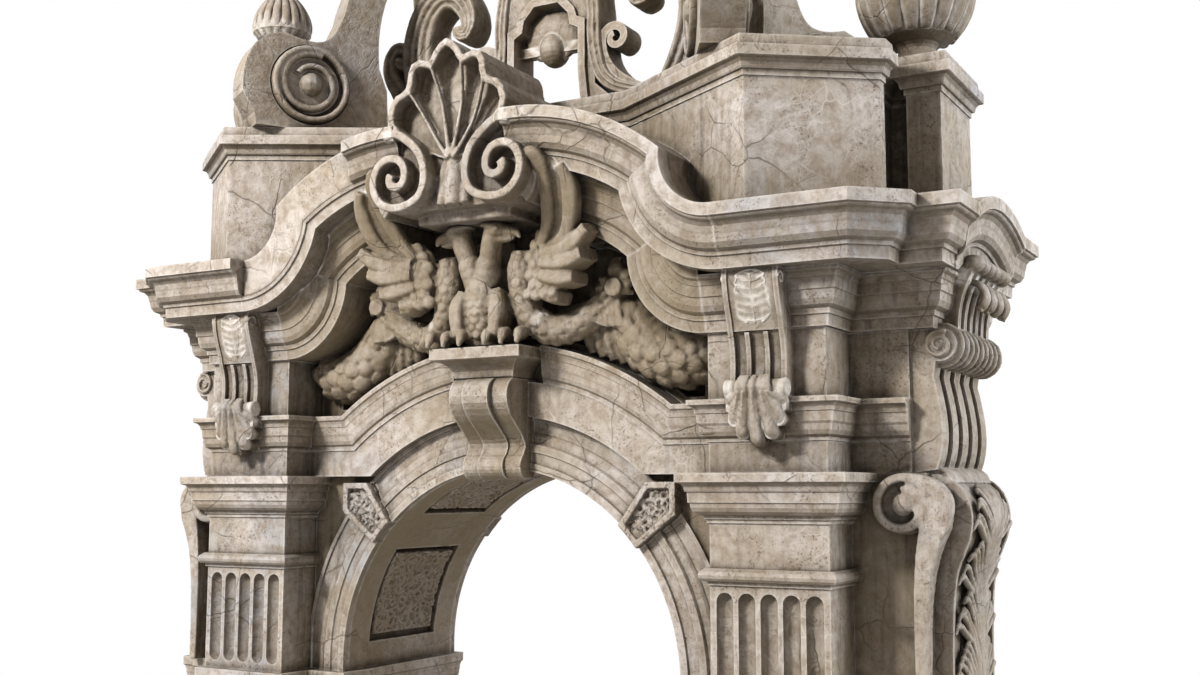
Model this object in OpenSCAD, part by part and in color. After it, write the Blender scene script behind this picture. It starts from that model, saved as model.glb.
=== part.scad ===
// Carved stone triumphal arch: one round-headed passage between paired piers,
// a swan-necked pediment with scrolls and a shell, and a carved attic.
// Built in millimetres, standing on the ground, centred on the passage.

/* [Arch] */
// Height of the springing line above the ground
spring_h = 2900; // [2600:50:3200]
// Radius of the arched opening
arch_r = 1450; // [1380:10:1520]
// Half thickness of the wall round the opening
wall_half = 665; // [650:5:690]
// Radial width of the moulded archivolt
archivolt_w = 388; // [370:2:400]
// Radial width of the plain band above the archivolt
band_w = 252; // [236:4:264]
// Depth of the sunk frames in the soffit
coffer_sink = 60; // [40:5:80]
// Half width of the keystone
key_half_w = 250; // [220:5:270]

/* [Piers] */
// Clear wall between the opening and a pilaster
pier_gap = 360; // [350:2:366]
// Width of a pilaster
pier_w = 805; // [760:5:850]
// Half depth of the arch across the pilasters
pier_half = 1025; // [985:5:1060]
// Width of the outer wing of each pier
wing_w = 395; // [360:5:430]
// Half depth of the outer wings
wing_half = 585; // [560:5:600]
// Number of flutes on each pilaster
flute_count = 5; // [3:1:7]

/* [Storeys] */
// Height of the plinth
plinth_h = 350; // [300:10:420]
// Height of the impost cornice
impost_h = 240; // [200:5:280]
// Height of the pilaster capitals
capital_h = 317; // [280:2:340]
// Height of the plain frieze over the capitals
frieze_h = 200; // [180:5:230]
// Height of the cornice over the frieze
string_h = 270; // [250:2:285]
// Height of the upper pier blocks
upper_h = 440; // [400:5:480]
// Height of the bed moulding
bed_h = 365; // [340:5:380]
// Height of the main cornice
cornice_h = 395; // [375:5:405]
// Height of the attic wall
attic_h = 830; // [780:10:880]
// Height of the attic cap
cap_h = 256; // [220:4:280]

/* [Overhangs] */
// Overhang of the plinth
plinth_out = 60; // [40:5:80]
// Overhang of the impost cornice
impost_out = 55; // [45:5:70]
// Overhang of the capitals
capital_out = 170; // [150:5:180]
// Overhang of the cornice over the frieze
string_out = 110; // [95:5:120]
// Overhang of the bed moulding
bed_out = 150; // [135:5:160]
// Overhang of the main cornice
cornice_out = 167; // [150:1:180]
// Overhang of the attic cap
cap_out = 85; // [70:5:95]

/* [Carving] */
// Width of the carved consoles
console_w = 380; // [340:5:420]
// Depth of the spiral channels in the scrolls
scroll_sink = 45; // [30:5:60]
// Height of the crest above the attic cap
crest_h = 2040; // [1840:20:2240]

/* [Hidden] */
$fn = 256;

pale = "#cfc6b8";
warm = "#b8a88c";
dusk = "#a39a8a";

// Levels, measured from the springing line
impost_top = -100;
frieze_z = arch_r - 50;
string_z = frieze_z + frieze_h;
upper_z = string_z + string_h;
bed_z = upper_z + upper_h;
cornice_z = bed_z + bed_h;
cornice_top = cornice_z + cornice_h;
attic_top = cornice_top + attic_h;
cap_top = attic_top + cap_h;
capital_z = frieze_z - capital_h;
neck_h = 286;
astragal_h = 107;
astragal_out = 60;
neck_z = capital_z - neck_h;
shaft_top = neck_z - astragal_h;

// Distances from the axis of the passage and from the middle plane
pier_in = arch_r + pier_gap;
pier_out = pier_in + pier_w;
wing_out = pier_out + wing_w;
foot_out = wing_out + 90;
flank_out = wing_out + 240;
flank_half = wing_half - 40;
band_r = arch_r + archivolt_w;
curve_r = band_r + band_w;
crown_r = curve_r + string_h;
upper_half = wall_half - 45;
lip_out = 65;
band_out = 100;
ear_out = 120;
curve_out = 160;
big = 20000;

// Moulding profiles as rows of height and overhang, both as parts of one
function cove(a, b, n = 4) = [for (i = [0 : n]) let (t = 90 * i / n)
    [a[0] + (b[0] - a[0]) * sin(t), a[1] + (b[1] - a[1]) * (1 - cos(t))]];
function ovolo(a, b, n = 4) = [for (i = [0 : n]) let (t = 90 * i / n)
    [a[0] + (b[0] - a[0]) * (1 - cos(t)), a[1] + (b[1] - a[1]) * sin(t)]];
plinth_rows = concat([[0, 1], [0.72, 1]], cove([0.80, 0.85], [1, 0.15], 3));
impost_rows = concat([[0, 0.2], [0.12, 0.2]], ovolo([0.14, 0.3], [0.4, 0.6], 3), [[0.46, 0.66], [0.58, 0.66]],
    cove([0.58, 0.72], [0.7, 0.95], 2), [[0.72, 1], [1, 1]]);
astragal_rows = concat([[0, 0.25], [0.2, 0.25]], ovolo([0.22, 0.5], [0.6, 1], 3), [[0.8, 0.85], [1, 0.4]]);
capital_rows = concat([[0, 0.08], [0.07, 0.08], [0.08, 0.16], [0.14, 0.16]], ovolo([0.16, 0.26], [0.4, 0.56], 4),
    [[0.41, 0.62], [0.62, 0.64], [0.63, 0.7]], cove([0.66, 0.72], [0.8, 0.92], 3), [[0.82, 1], [1, 1]]);
string_rows = concat([[0, 0.1], [0.08, 0.1]], ovolo([0.1, 0.2], [0.38, 0.45], 3), [[0.44, 0.52], [0.66, 0.55]],
    cove([0.68, 0.62], [0.86, 0.92], 3), [[0.88, 1], [1, 1]]);
curve_rows = concat([[0, 0.7], [0.12, 0.7]], ovolo([0.14, 0.74], [0.4, 0.84], 3), [[0.46, 0.86], [0.66, 0.88]],
    cove([0.68, 0.9], [0.86, 0.97], 3), [[0.88, 1], [1, 1]]);
bed_rows = concat([[0, 0.2], [0.2, 0.22], [0.21, 0.3], [0.3, 0.32]], ovolo([0.32, 0.4], [0.6, 0.66], 3),
    [[0.62, 0.72], [0.8, 0.76]], cove([0.82, 0.8], [0.93, 0.97], 2), [[0.94, 1], [1, 1]]);
cornice_rows = concat([[0, 0], [0.2, 0.03], [0.21, 0.12], [0.27, 0.14]], ovolo([0.28, 0.18], [0.52, 0.5], 3),
    cove([0.56, 0.53], [0.74, 0.84], 3), [[0.76, 0.88], [0.785, 0.89], [0.795, 1], [1, 1]]);
archivolt_rows = concat([[0, 1], [0.14, 1], [0.16, 0.72], [0.34, 0.68], [0.36, 0.86], [0.5, 0.92]],
    cove([0.54, 0.6], [0.7, 0.42], 2), [[0.72, 0.3], [0.92, 0.24], [0.93, 0.5], [0.995, 0.5]]);
cap_rows = concat([[0, 0.14], [0.15, 0.14], [0.16, 0.34]], cove([0.2, 0.4], [0.42, 0.9], 3),
    [[0.44, 1], [0.72, 1], [0.74, 0.7], [1, 0.62]]);

// Mitred offset of a plan, with the edges marked 0 held in place
function unit(v) = v / norm(v);
function out_normal(a, b) = let (d = unit(b - a)) [d[1], -d[0]];
function corner_shift(p, q, u, v) = let (c = p * q) ((u - v * c) * p + (v - u * c) * q) / (1 - c * c);
function plan_ring(plan, hold, off, z) = [for (i = [0 : len(plan) - 1])
    let (n = len(plan), h = (i + n - 1) % n, j = (i + 1) % n,
        p = out_normal(plan[h], plan[i]), q = out_normal(plan[i], plan[j]),
        m = plan[i] + off * corner_shift(p, q, hold[h], hold[i])) [m[0], m[1], z]];
function free_edges(plan) = [for (p = plan) 1];

// Triangles that fill an outline, cut off one corner at a time
function turn(a, b, c) = cross(b - a, c - a);
function holds(plan, t, p) =
    min([for (i = [0 : 2]) turn(plan[t[i]], plan[t[(i + 1) % 3]], p)]) >= 0;
function corner(ring, i) = let (n = len(ring)) [ring[(i + n - 1) % n], ring[i], ring[(i + 1) % n]];
function is_ear(plan, ring, t) = turn(plan[t[0]], plan[t[1]], plan[t[2]]) > 0
    && len([for (k = ring) if (len(search(k, t)) == 0 && holds(plan, t, plan[k])) k]) == 0;
function fill(plan, ring) = len(ring) == 3 ? [ring] : let (
    ears = [for (i = [0 : len(ring) - 1]) if (is_ear(plan, ring, corner(ring, i))) i], e = ears[0])
    concat([corner(ring, e)], fill(plan, [for (i = [0 : len(ring) - 1]) if (i != e) ring[i]]));

// A moulding carried round a plan by its profile rows
module moulded(plan, rows, h, out, hold) {
    n = len(plan);
    k = len(rows);
    points = [for (r = rows) each plan_ring(plan, hold, r[1] * out, r[0] * h)];
    flat = [for (p = points) [p[0], p[1]]];
    bottom = fill(flat, [for (i = [0 : n - 1]) i]);
    top = [for (t = fill(flat, [for (i = [0 : n - 1]) (k - 1) * n + i])) [t[2], t[1], t[0]]];
    sides = [for (j = [0 : k - 2]) for (i = [0 : n - 1])
        [j * n + i, (j + 1) * n + i, (j + 1) * n + (i + 1) % n, j * n + (i + 1) % n]];
    polyhedron(points, concat(bottom, top, sides));
}

// Elevation shapes given a thickness, and arcs turned about a line through the wall
module plate(front, back) translate([0, -back, 0]) rotate([90, 0, 0]) linear_extrude(front - back) children();
module turned(from, to) rotate([90, 0, 0]) rotate([0, 0, from]) rotate_extrude(angle = to - from) children();
module raised() translate([0, 0, spring_h]) children();
module pair() {
    children();
    mirror([1, 0, 0]) children();
}
module four() {
    pair() children();
    mirror([0, 1, 0]) pair() children();
}
module rear() mirror([0, 1, 0]) children();
module box(a, b) translate(a) cube(b - a);

function polar(r, a) = r * [cos(a), sin(a)];
function arc(c, r, a, b, n = 24) = [for (i = [0 : n]) c + polar(r, a + (b - a) * i / n)];
function meet(c, r, d, s, side) = let (l = norm(d - c), a = (r * r - s * s + l * l) / (2 * l),
    h = sqrt(r * r - a * a), u = (d - c) / l) c + a * u + side * h * [-u[1], u[0]];
function angle_of(v) = atan2(v[1], v[0]);
function spiral(c, r, s, a, b, n = 40) = [for (i = [0 : n]) let (t = i / n)
    c + polar(r * pow(s / r, t), a + (b - a) * t)];
function bezier(p, n = 10) = [for (i = [0 : n]) let (t = i / n, u = 1 - t)
    u * u * u * p[0] + 3 * u * u * t * p[1] + 3 * u * t * t * p[2] + t * t * t * p[3]];
function flip(p) = [for (i = [len(p) - 1 : -1 : 0]) p[i]];
function side_of(path, i) = let (a = path[max(i - 1, 0)], b = path[min(i + 1, len(path) - 1)]) out_normal(a, b);

// A band of stone that follows a path and narrows from one width to another
module ribbon(path, w0, w1) {
    n = len(path) - 1;
    polygon(concat([for (i = [0 : n]) path[i] + side_of(path, i) * (w0 + (w1 - w0) * i / n) / 2],
        flip([for (i = [0 : n]) path[i] - side_of(path, i) * (w0 + (w1 - w0) * i / n) / 2])));
}

// Lower storey
lower_plan = [[arch_r, -wall_half - lip_out], [pier_in, -wall_half - lip_out], [pier_in, -pier_half],
    [pier_out, -pier_half], [pier_out, -wing_half], [foot_out, -wing_half], [foot_out, -flank_half],
    [flank_out, -flank_half], [flank_out, flank_half], [foot_out, flank_half], [foot_out, wing_half],
    [pier_out, wing_half], [pier_out, pier_half], [pier_in, pier_half],
    [pier_in, wall_half + lip_out], [arch_r, wall_half + lip_out]];

module plinths() color(warm) pair()
    moulded(lower_plan, plinth_rows, plinth_h, plinth_out, free_edges(lower_plan));

module lower_piers() color(pale) pair()
    translate([0, 0, plinth_h])
    linear_extrude(spring_h + impost_top - impost_h - plinth_h) polygon(lower_plan);

module impost_cornices() color(pale) pair() raised()
    translate([0, 0, impost_top - impost_h])
    moulded(lower_plan, impost_rows, impost_h, impost_out, free_edges(lower_plan));

module wing_walls() color(pale) pair() raised()
    box([pier_in, -wing_half, impost_top], [foot_out, wing_half, frieze_z]);

// Vaulted wall with its sunk soffit frames
coffer_half = 425;
coffer_margin = 45;
ear_from = 38;
ear_to = 46.5;
coffer_a = [4, 35];
coffer_b = [50, 77];
module soffit_ring(r0, r1, a, half) rotate([0, -a[0], 0]) translate([0, half, 0]) rotate([90, 0, 0])
    rotate_extrude(angle = a[1] - a[0]) translate([r0, 0]) square([r1 - r0, 2 * half]);

module arch_wall() color(warm) raised() difference() {
    plate(wall_half, -wall_half) difference() {
        union() {
            intersection() {
                circle(crown_r);
                translate([-pier_in, impost_top]) square([2 * pier_in, big]);
            }
            translate([-pier_in, impost_top]) square([2 * pier_in, upper_z - impost_top]);
        }
        circle(arch_r);
        translate([-arch_r, impost_top - 1]) square([2 * arch_r, 1 - impost_top]);
    }
    pair() {
        soffit_ring(arch_r - coffer_sink, arch_r + coffer_sink, coffer_a, coffer_half);
        soffit_ring(arch_r - coffer_sink, arch_r + coffer_sink, coffer_b, coffer_half);
    }
}

coffer_turn = 2;
module soffit_panels() color(dusk) raised() pair() {
    soffit_ring(arch_r, arch_r + coffer_sink, coffer_a + [coffer_turn, -coffer_turn], coffer_half - coffer_margin);
    soffit_ring(arch_r, arch_r + coffer_sink, coffer_b + [coffer_turn, -coffer_turn], coffer_half - coffer_margin);
}

// Face mouldings round the opening
ear_r = band_r - 8;
ear_side = 1.5;
ear_top = ear_r - 15;
ear_shape = [polar(arch_r, ear_from), polar(ear_r, ear_from),
    [polar(ear_r, ear_from)[0], polar(ear_top, ear_to + ear_side)[1]],
    polar(ear_top, ear_to + ear_side), polar(arch_r, ear_to)];
ear_border = 45;
module ear_outline() difference() {
    polygon(ear_shape);
    circle(arch_r);
}

function face_profile(rows, r, w, base, out) = concat([[r, base]],
    [for (p = rows) [r + p[0] * w, base + p[1] * out]], [[r + w, base]]);

module archivolt() difference() {
    intersection() {
        union() {
            turned(0, 180) polygon(face_profile(archivolt_rows, arch_r, archivolt_w, wall_half, lip_out));
            pair() translate([0, 0, impost_top]) linear_extrude(-impost_top) mirror([0, 1, 0])
                polygon(face_profile(archivolt_rows, arch_r, archivolt_w, wall_half, lip_out));
        }
        box([-pier_in, -big, impost_top], [pier_in, 0, big]);
    }
    box([-key_half_w, -big, 0], [key_half_w, 0, big]);
    pair() plate(big, 0) ear_outline();
}
module front_archivolt() color(pale) raised() archivolt();
module back_archivolt() color(pale) raised() rear() archivolt();

module ear_blocks() color(pale) raised() four() difference() {
    plate(wall_half + ear_out, wall_half) ear_outline();
    plate(wall_half + ear_out + 1, wall_half + ear_out - 30) offset(delta = -ear_border) polygon(ear_shape);
}

module band_shape() difference() {
    union() {
        intersection() {
            circle(curve_r);
            translate([-pier_in, frieze_z]) square([2 * pier_in, big]);
        }
        translate([-pier_in, frieze_z]) square([2 * pier_in, frieze_h]);
    }
    circle(band_r);
    translate([-key_half_w, 0]) square([2 * key_half_w, big]);
}
module bands() color(pale) raised() for (t = [0, 1]) mirror([0, t, 0])
    plate(wall_half + band_out, wall_half) band_shape();

// Curved cornice that turns level over the ear blocks
mitre_low = [sqrt(curve_r * curve_r - string_z * string_z), string_z];
mitre_high = [sqrt(crown_r * crown_r - upper_z * upper_z), upper_z];
mitre_run = 3 * (mitre_high - mitre_low);
abacus_half = 388;
module inner_side() polygon([[0, 0], mitre_low - mitre_run, mitre_high + mitre_run, [0, big]]);
module string_profile(side) polygon(face_profile(curve_rows, string_z, string_h, side, curve_out));
module level_cornice(from, to) translate([from, 0, 0]) rotate([0, 0, 180]) rotate([90, 0, 0])
    rotate([0, -90, 0]) linear_extrude(to - from) children();
module level_run(from, to, rows, z, h, base, out) translate([from, 0, 0])
    rotate([90, 0, 90]) linear_extrude(to - from)
    polygon([for (p = face_profile(rows, z, h, base, out)) [-p[1], p[0]]]);
module arch_cornice() pair() {
    difference() {
        intersection() {
            turned(0, 90) polygon(face_profile(curve_rows, curve_r, string_h, wall_half, curve_out));
            plate(big, 0) inner_side();
        }
        box([0, -big, 0], [abacus_half, 0, big]);
    }
    difference() {
        level_run(mitre_low[0] - string_h, pier_in, curve_rows, string_z, string_h, wall_half, curve_out);
        plate(big, 0) inner_side();
    }
}
module front_arch_cornice() color(pale) raised() arch_cornice();
module back_arch_cornice() color(pale) raised() rear() arch_cornice();

// Keystone console with its abacus
key_low = arch_r - 80;
abacus_h = 220;
abacus_z = curve_r;
abacus_top = abacus_z + abacus_h;
abacus_front = pier_half + 78;
key_half_t = 110;
key_side = concat([[wall_half, abacus_z], [wall_half, key_low], [wall_half + 90, key_low]],
    arc([wall_half + 120, key_low + 95], 95, -90, 60, 10),
    bezier([[wall_half + 140, key_low + 230], [wall_half + 130, key_low + 330],
        [wall_half + 420, key_low + 420], [wall_half + 420, key_low + 590]], 10),
    bezier([[wall_half + 418, key_low + 610], [wall_half + 410, key_low + 670],
        [wall_half + 380, abacus_z - 20], [wall_half + 330, abacus_z]], 6));
module side_slab(w) translate([-w, 0, 0]) rotate([90, 0, 90]) linear_extrude(2 * w) children();
module keystone() {
    side_slab(key_half_w) polygon([for (p = key_side) [-(wall_half + (p[0] - wall_half) * 0.9), p[1]]]);
    intersection() {
        side_slab(key_half_t) polygon([for (p = key_side) [-p[0], p[1]]]);
        box([-big, -big, 0], [big, -wall_half, abacus_z]);
    }
    difference() {
        translate([0, 0, abacus_z]) moulded([[-abacus_half + 148, -abacus_front + 148], [abacus_half - 148, -abacus_front + 148],
            [abacus_half - 148, -wall_half], [-abacus_half + 148, -wall_half]],
            concat([[0, 0]], cove([0.06, 0.1], [0.6, 0.9], 4), [[0.64, 1], [1, 1]]), abacus_h, 148, [1, 1, 0, 1]);
    }
}
module front_keystone() color(pale) raised() keystone();
module back_keystone() color(pale) raised() rear() keystone();

// Fluted pilasters and their capitals
flute_margin = 43;
flute_gap = 34;
flute_w = (pier_w - 2 * flute_margin - (flute_count - 1) * flute_gap) / flute_count;
flute_low = impost_top + 60;
flute_high = shaft_top - 45;
pier_plan = [[pier_in, -pier_half], [pier_out, -pier_half], [pier_out, -wing_half], [pier_in, -wing_half]];
pier_hold = [1, 1, 0, 1];
module core_cut() box([-pier_in, -wall_half, -big], [pier_in, wall_half, big]);
module flutes() for (i = [0 : flute_count - 1])
    translate([pier_in + flute_margin + flute_w / 2 + i * (flute_w + flute_gap), -pier_half, 0]) {
        translate([0, 0, flute_low + flute_w / 2]) cylinder(h = flute_high - flute_low - flute_w, d = flute_w, $fn = 32);
        translate([0, 0, flute_low + flute_w / 2]) sphere(d = flute_w, $fn = 32);
        translate([0, 0, flute_high - flute_w / 2]) sphere(d = flute_w, $fn = 32);
    }
module pilasters() pair() {
    difference() {
        translate([0, 0, impost_top]) linear_extrude(capital_z - impost_top) polygon(pier_plan);
        flutes();
    }
    difference() {
        translate([0, 0, shaft_top]) moulded(pier_plan, astragal_rows, astragal_h, astragal_out, pier_hold);
        core_cut();
    }
}
module front_pilasters() color(pale) raised() pilasters();
module back_pilasters() color(pale) raised() rear() pilasters();
module capitals() pair() difference() {
    translate([0, 0, capital_z]) moulded(pier_plan, capital_rows, capital_h, capital_out, pier_hold);
    core_cut();
}
module front_capitals() color(pale) raised() capitals();
module back_capitals() color(pale) raised() rear() capitals();

// Frieze and string cornice over the piers
body_plan = [[pier_in, -pier_half], [pier_out, -pier_half], [pier_out, -wing_half], [wing_out, -wing_half],
    [wing_out, wing_half], [pier_out, wing_half], [pier_out, pier_half], [pier_in, pier_half]];
body_hold = [1, 1, 1, 0, 1, 1, 1, 1];
curve_edge = face_profile(curve_rows, string_z, string_h, wall_half, curve_out);
curve_cut = concat([[string_z - 1, curve_edge[1][1]]], [for (i = [1 : len(curve_edge) - 2]) curve_edge[i]],
    [[upper_z + 1, wall_half + curve_out]]);
module friezes() color(pale) raised() pair()
    translate([0, 0, frieze_z]) linear_extrude(frieze_h) polygon(body_plan);
module string_courses() color(pale) raised() pair() difference() {
    translate([0, 0, string_z]) moulded(body_plan, string_rows, string_h, string_out, body_hold);
    translate([pier_in - 2 * string_out, 0, 0]) rotate([90, 0, 90]) linear_extrude(2 * string_out)
        polygon(concat([for (p = curve_cut) [-p[1], p[0]]], flip([for (p = curve_cut) [p[1], p[0]]])));
}

module upper_piers() color(pale) raised() pair()
    translate([0, 0, upper_z]) linear_extrude(upper_h) polygon(body_plan);

bed_x = wing_out + 140;
bed_plan = [[pier_in, -pier_half], [pier_out, -pier_half], [pier_out, -wing_half], [bed_x, -wing_half],
    [bed_x, wing_half], [pier_out, wing_half], [pier_out, pier_half], [pier_in, pier_half]];
module bed_mouldings() color(pale) raised() pair() translate([0, 0, bed_z])
    moulded(bed_plan, bed_rows, bed_h, bed_out, [1, 1, 1, 1, 1, 1, 1, 0]);

// Swan-necked pediment: a hollow curve springing from the cornice into a rising curve
block_in = pier_in + 226;
block_half = pier_half + 300;
lip_r = 350;
neck_c = [block_in, cornice_top + lip_r];
swan_c = [pier_in - 1310, cornice_top - 1030];
swan_r = 1858;
kink = meet(swan_c, swan_r, neck_c, lip_r, 1);
kink_low = meet(swan_c, swan_r - cornice_h, neck_c, lip_r + cornice_h, 1);
swan_run = 2 * (kink - kink_low);
scroll_x = 460;
scroll_c = [443, cornice_top + 398];
front_y = block_half + cornice_out;
module right_of_kink() polygon([kink + swan_run, kink_low - swan_run, [kink_low[0], 0], [big, 0], [big, big]]);
function down_profile(r, dir) = concat([[r, upper_half]],
    [for (p = flip(cornice_rows)) [r - dir * (1 - p[0]) * cornice_h, block_half + p[1] * cornice_out]],
    [[r - dir * cornice_h, upper_half]]);
module rising_curve() intersection() {
    translate([swan_c[0], 0, swan_c[1]]) turned(30, 120) polygon(down_profile(swan_r, 1));
    difference() {
        box([scroll_x, -big, 0], [big, 0, big]);
        plate(big, 0) right_of_kink();
    }
}
module hollow_curve() intersection() {
    translate([neck_c[0], 0, neck_c[1]]) turned(150, 270) polygon(down_profile(lip_r, -1));
    plate(big, 0) right_of_kink();
    box([0, -big, 0], [block_in, 0, big]);
}
module pediment_half() difference() {
    union() {
        rising_curve();
        hollow_curve();
    }
    plate(big, 0) polygon(spiral(scroll_c, scroll_r, scroll_end, 90, 450, 48));
}
module front_pediment() color(pale) raised() {
    pediment_half();
    mirror([1, 0, 0]) difference() {
        pediment_half();
        broken_edge();
    }
}
module back_pediment() color(pale) raised() rear() pair() pediment_half();

// The lip and hollow lost from the left half
break_x = [930, 2036];
break_t = 0.72;
module broken_edge() intersection() {
    plate(big, block_half + 20) difference() {
        translate([break_x[0], 0]) square([pier_in - break_x[0] + 200, big]);
        intersection() {
            translate(swan_c) circle(swan_r - cornice_h * break_t);
            difference() {
                square(big);
                right_of_kink();
            }
        }
        intersection() {
            difference() {
                square(big);
                translate(neck_c) circle(lip_r + cornice_h * break_t);
            }
            right_of_kink();
        }
    }
    box([0, -big, 0], [block_in, 0, big]);
}

// Everything under the lip, used to seat what stands behind it
module under_lip() union() {
    intersection() {
        translate(swan_c) circle(swan_r);
        difference() {
            translate([0, 0]) square([block_in, big]);
            right_of_kink();
        }
    }
    intersection() {
        difference() {
            square([block_in, big]);
            translate(neck_c) circle(lip_r);
            translate(neck_c - [lip_r, 0]) square([lip_r, big]);
        }
        right_of_kink();
    }
    square([block_in, cornice_top]);
}

// Architrave that follows the pediment from the bed moulding
sweep_r = 585;
sweep_c = [pier_in, bed_z + sweep_r];
arch_in = 1100;
bend = meet(swan_c, arch_in, sweep_c, sweep_r, 1);
bend_high = meet(swan_c, arch_in + bed_h, sweep_c, sweep_r - bed_h, 1);
bend_run = 3 * (bend_high - bend);
volute_right = 700;
module right_of_bend() polygon([bend_high + bend_run, bend - bend_run, [bend[0], 0], [big, 0], [big, big]]);
function up_profile(r, dir, tail) = concat([[r, upper_half]],
    [for (p = bed_rows) [r + dir * p[0] * bed_h, pier_half + p[1] * bed_out]],
    [[tail, pier_half + bed_out], [tail, upper_half]]);
module pediment_zone() union() {
    difference() {
        translate(swan_c) circle(big);
        translate(swan_c) circle(swan_r - cornice_h);
        right_of_kink();
    }
    intersection() {
        translate(neck_c) circle(lip_r + cornice_h);
        right_of_kink();
    }
}
module architrave() pair() difference() {
    translate([swan_c[0], 0, swan_c[1]]) turned(20, 100)
        polygon(up_profile(arch_in, 1, swan_r - cornice_h + 60));
    box([0, -big, 0], [volute_right, 0, big]);
    plate(big, 0) {
        right_of_bend();
        pediment_zone();
    }
}
module front_architrave() color(pale) raised() architrave();
module back_architrave() color(pale) raised() rear() architrave();

// Quarter turns that carry the architrave down to the bed moulding
module sweep() difference() {
    intersection() {
        translate([sweep_c[0], 0, sweep_c[1]]) turned(150, 270) polygon(up_profile(sweep_r, -1, 0));
        plate(big, 0) right_of_bend();
    }
    plate(big, 0) pediment_zone();
}
module sweeps() color(pale) raised() four() sweep();

// Recessed wall of the tympanum
recess_half = 425;
frame_w = 210;
frame_gap = 60;
module recess_shape() difference() {
    union() {
        intersection() {
            translate(swan_c) circle(arch_in - frame_gap);
            square([bend[0], big]);
        }
        difference() {
            translate([volute_right, 0]) square([pier_in - frame_w - volute_right, sweep_c[1]]);
            translate(sweep_c) circle(sweep_r + frame_gap);
        }
    }
    circle(crown_r + frame_gap);
    square([big, upper_z + frame_gap]);
}
module tympanum_solid() difference() {
    plate(upper_half, -upper_half) difference() {
        translate([-pier_in, upper_z]) square([2 * pier_in, cornice_top - upper_z]);
        circle(crown_r);
    }
    pair() {
        plate(big, recess_half) recess_shape();
        plate(-recess_half, -big) recess_shape();
    }
}
module tympanum_wall() color(dusk) raised() tympanum_solid();

// Main cornice blocks, with the corner cut off and a notch for the flank's hood
chamfer_a = [pier_out + 256, -block_half];
chamfer_b = [pier_out + 456, -block_half + 186];
flank_y = wing_half + 343;
flank_x = wing_out + 323;
hood_half = 650;
cornice_plan = [[pier_in, -upper_half], [block_in, -upper_half], [block_in, -block_half], chamfer_a, chamfer_b,
    [chamfer_b[0], -flank_y], [flank_x, -flank_y], [flank_x, -hood_half], [bed_x, -hood_half],
    [bed_x, hood_half], [flank_x, hood_half], [flank_x, flank_y], [chamfer_b[0], flank_y],
    [chamfer_b[0], -chamfer_b[1]], [chamfer_a[0], -chamfer_a[1]], [block_in, block_half],
    [block_in, upper_half], [pier_in, upper_half]];
cornice_hold = [0, 0, 1, 1, 1, 1, 1, 0, 0, 0, 1, 1, 1, 1, 1, 0, 0, 0];
hood_r = 1600;
hood_c = cornice_top + 135 - hood_r;
block_x = wing_out - 77;
block_y = wing_half + 221;
hood_back = block_x;
module cornices() color(pale) raised() pair() translate([0, 0, cornice_z])
    moulded(cornice_plan, cornice_rows, cornice_h, cornice_out, cornice_hold);

// Arched hoods over the flanks
module hood_ring(rows) translate([0, 0, hood_c]) rotate([0, 90, 0]) rotate([0, 0, 150])
    rotate_extrude(angle = 60) polygon(rows);
module flank_hoods() color(pale) raised() pair() intersection() {
    hood_ring(concat([[hood_r - cornice_h, bed_x]],
        [for (p = cornice_rows) [hood_r - cornice_h + p[0] * cornice_h, flank_x + p[1] * cornice_out]],
        [[hood_r, bed_x]]));
    box([bed_x, -hood_half, cornice_z], [big, hood_half, big]);
}

// Scrolls that end the swan necks
scroll_r = 430;
scroll_end = 206;
module volute_outline() union() {
    polygon(spiral(scroll_c, scroll_r, scroll_end, 90, 450, 48));
    translate(scroll_c) square([scroll_x - scroll_c[0], scroll_r - 2]);
}
function channel(c, r, s, a, b, band) = concat(
    [for (p = spiral([0, 0], r, s, a, b, 40)) c + p * (1 - band)],
    flip([for (p = spiral([0, 0], r * pow(s / r, 360 / (b - a)), s * pow(s / r, 360 / (b - a)), a, b, 40)) c + p]));
module scrolls() pair() difference() {
    plate(front_y, upper_half) volute_outline();
    plate(front_y + 1, front_y - scroll_sink) polygon(channel(scroll_c, scroll_r, 90, 120, 700, 0.24));
}
module front_scrolls() color(pale) raised() scrolls();
module back_scrolls() color(pale) raised() rear() scrolls();

// Five-lobed shell standing between the scrolls
shell_c = [0, scroll_c[1] - 190];
lobe_a = [90, 72.5, 57.5];
lobe_r = [150, 140, 140];
lobe_d = [1035, 990, 870];
shell_front = front_y - 10;
module lobes(grow) for (i = [0 : 2]) for (s = [-1, 1])
    translate(shell_c + [s * polar(lobe_d[i], lobe_a[i])[0], polar(lobe_d[i], lobe_a[i])[1]])
        circle(lobe_r[i] + grow, $fn = 48);
web_half = 400;
web_drop = 100;
rim_w = 52;
hollow_in = 140;
fan_side = polar(lobe_d[2], lobe_a[2]);
module shell_outline() difference() {
    union() {
        lobes(0);
        polygon([shell_c - [web_half, web_drop], shell_c + [web_half, -web_drop], shell_c + [web_half, 0],
            shell_c + [190, 200], shell_c + fan_side, shell_c + polar(lobe_d[1], lobe_a[1]), shell_c + [0, lobe_d[0]],
            shell_c + polar(lobe_d[1], 180 - lobe_a[1]), shell_c + [-fan_side[0], fan_side[1]],
            shell_c + [-190, 200], shell_c - [web_half, 0]]);
    }
    for (s = [0, 1]) mirror([s, 0]) {
        volute_outline();
        translate([scroll_x, 0]) square([big, swan_c[1] + swan_r + 1]);
    }
}
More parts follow.
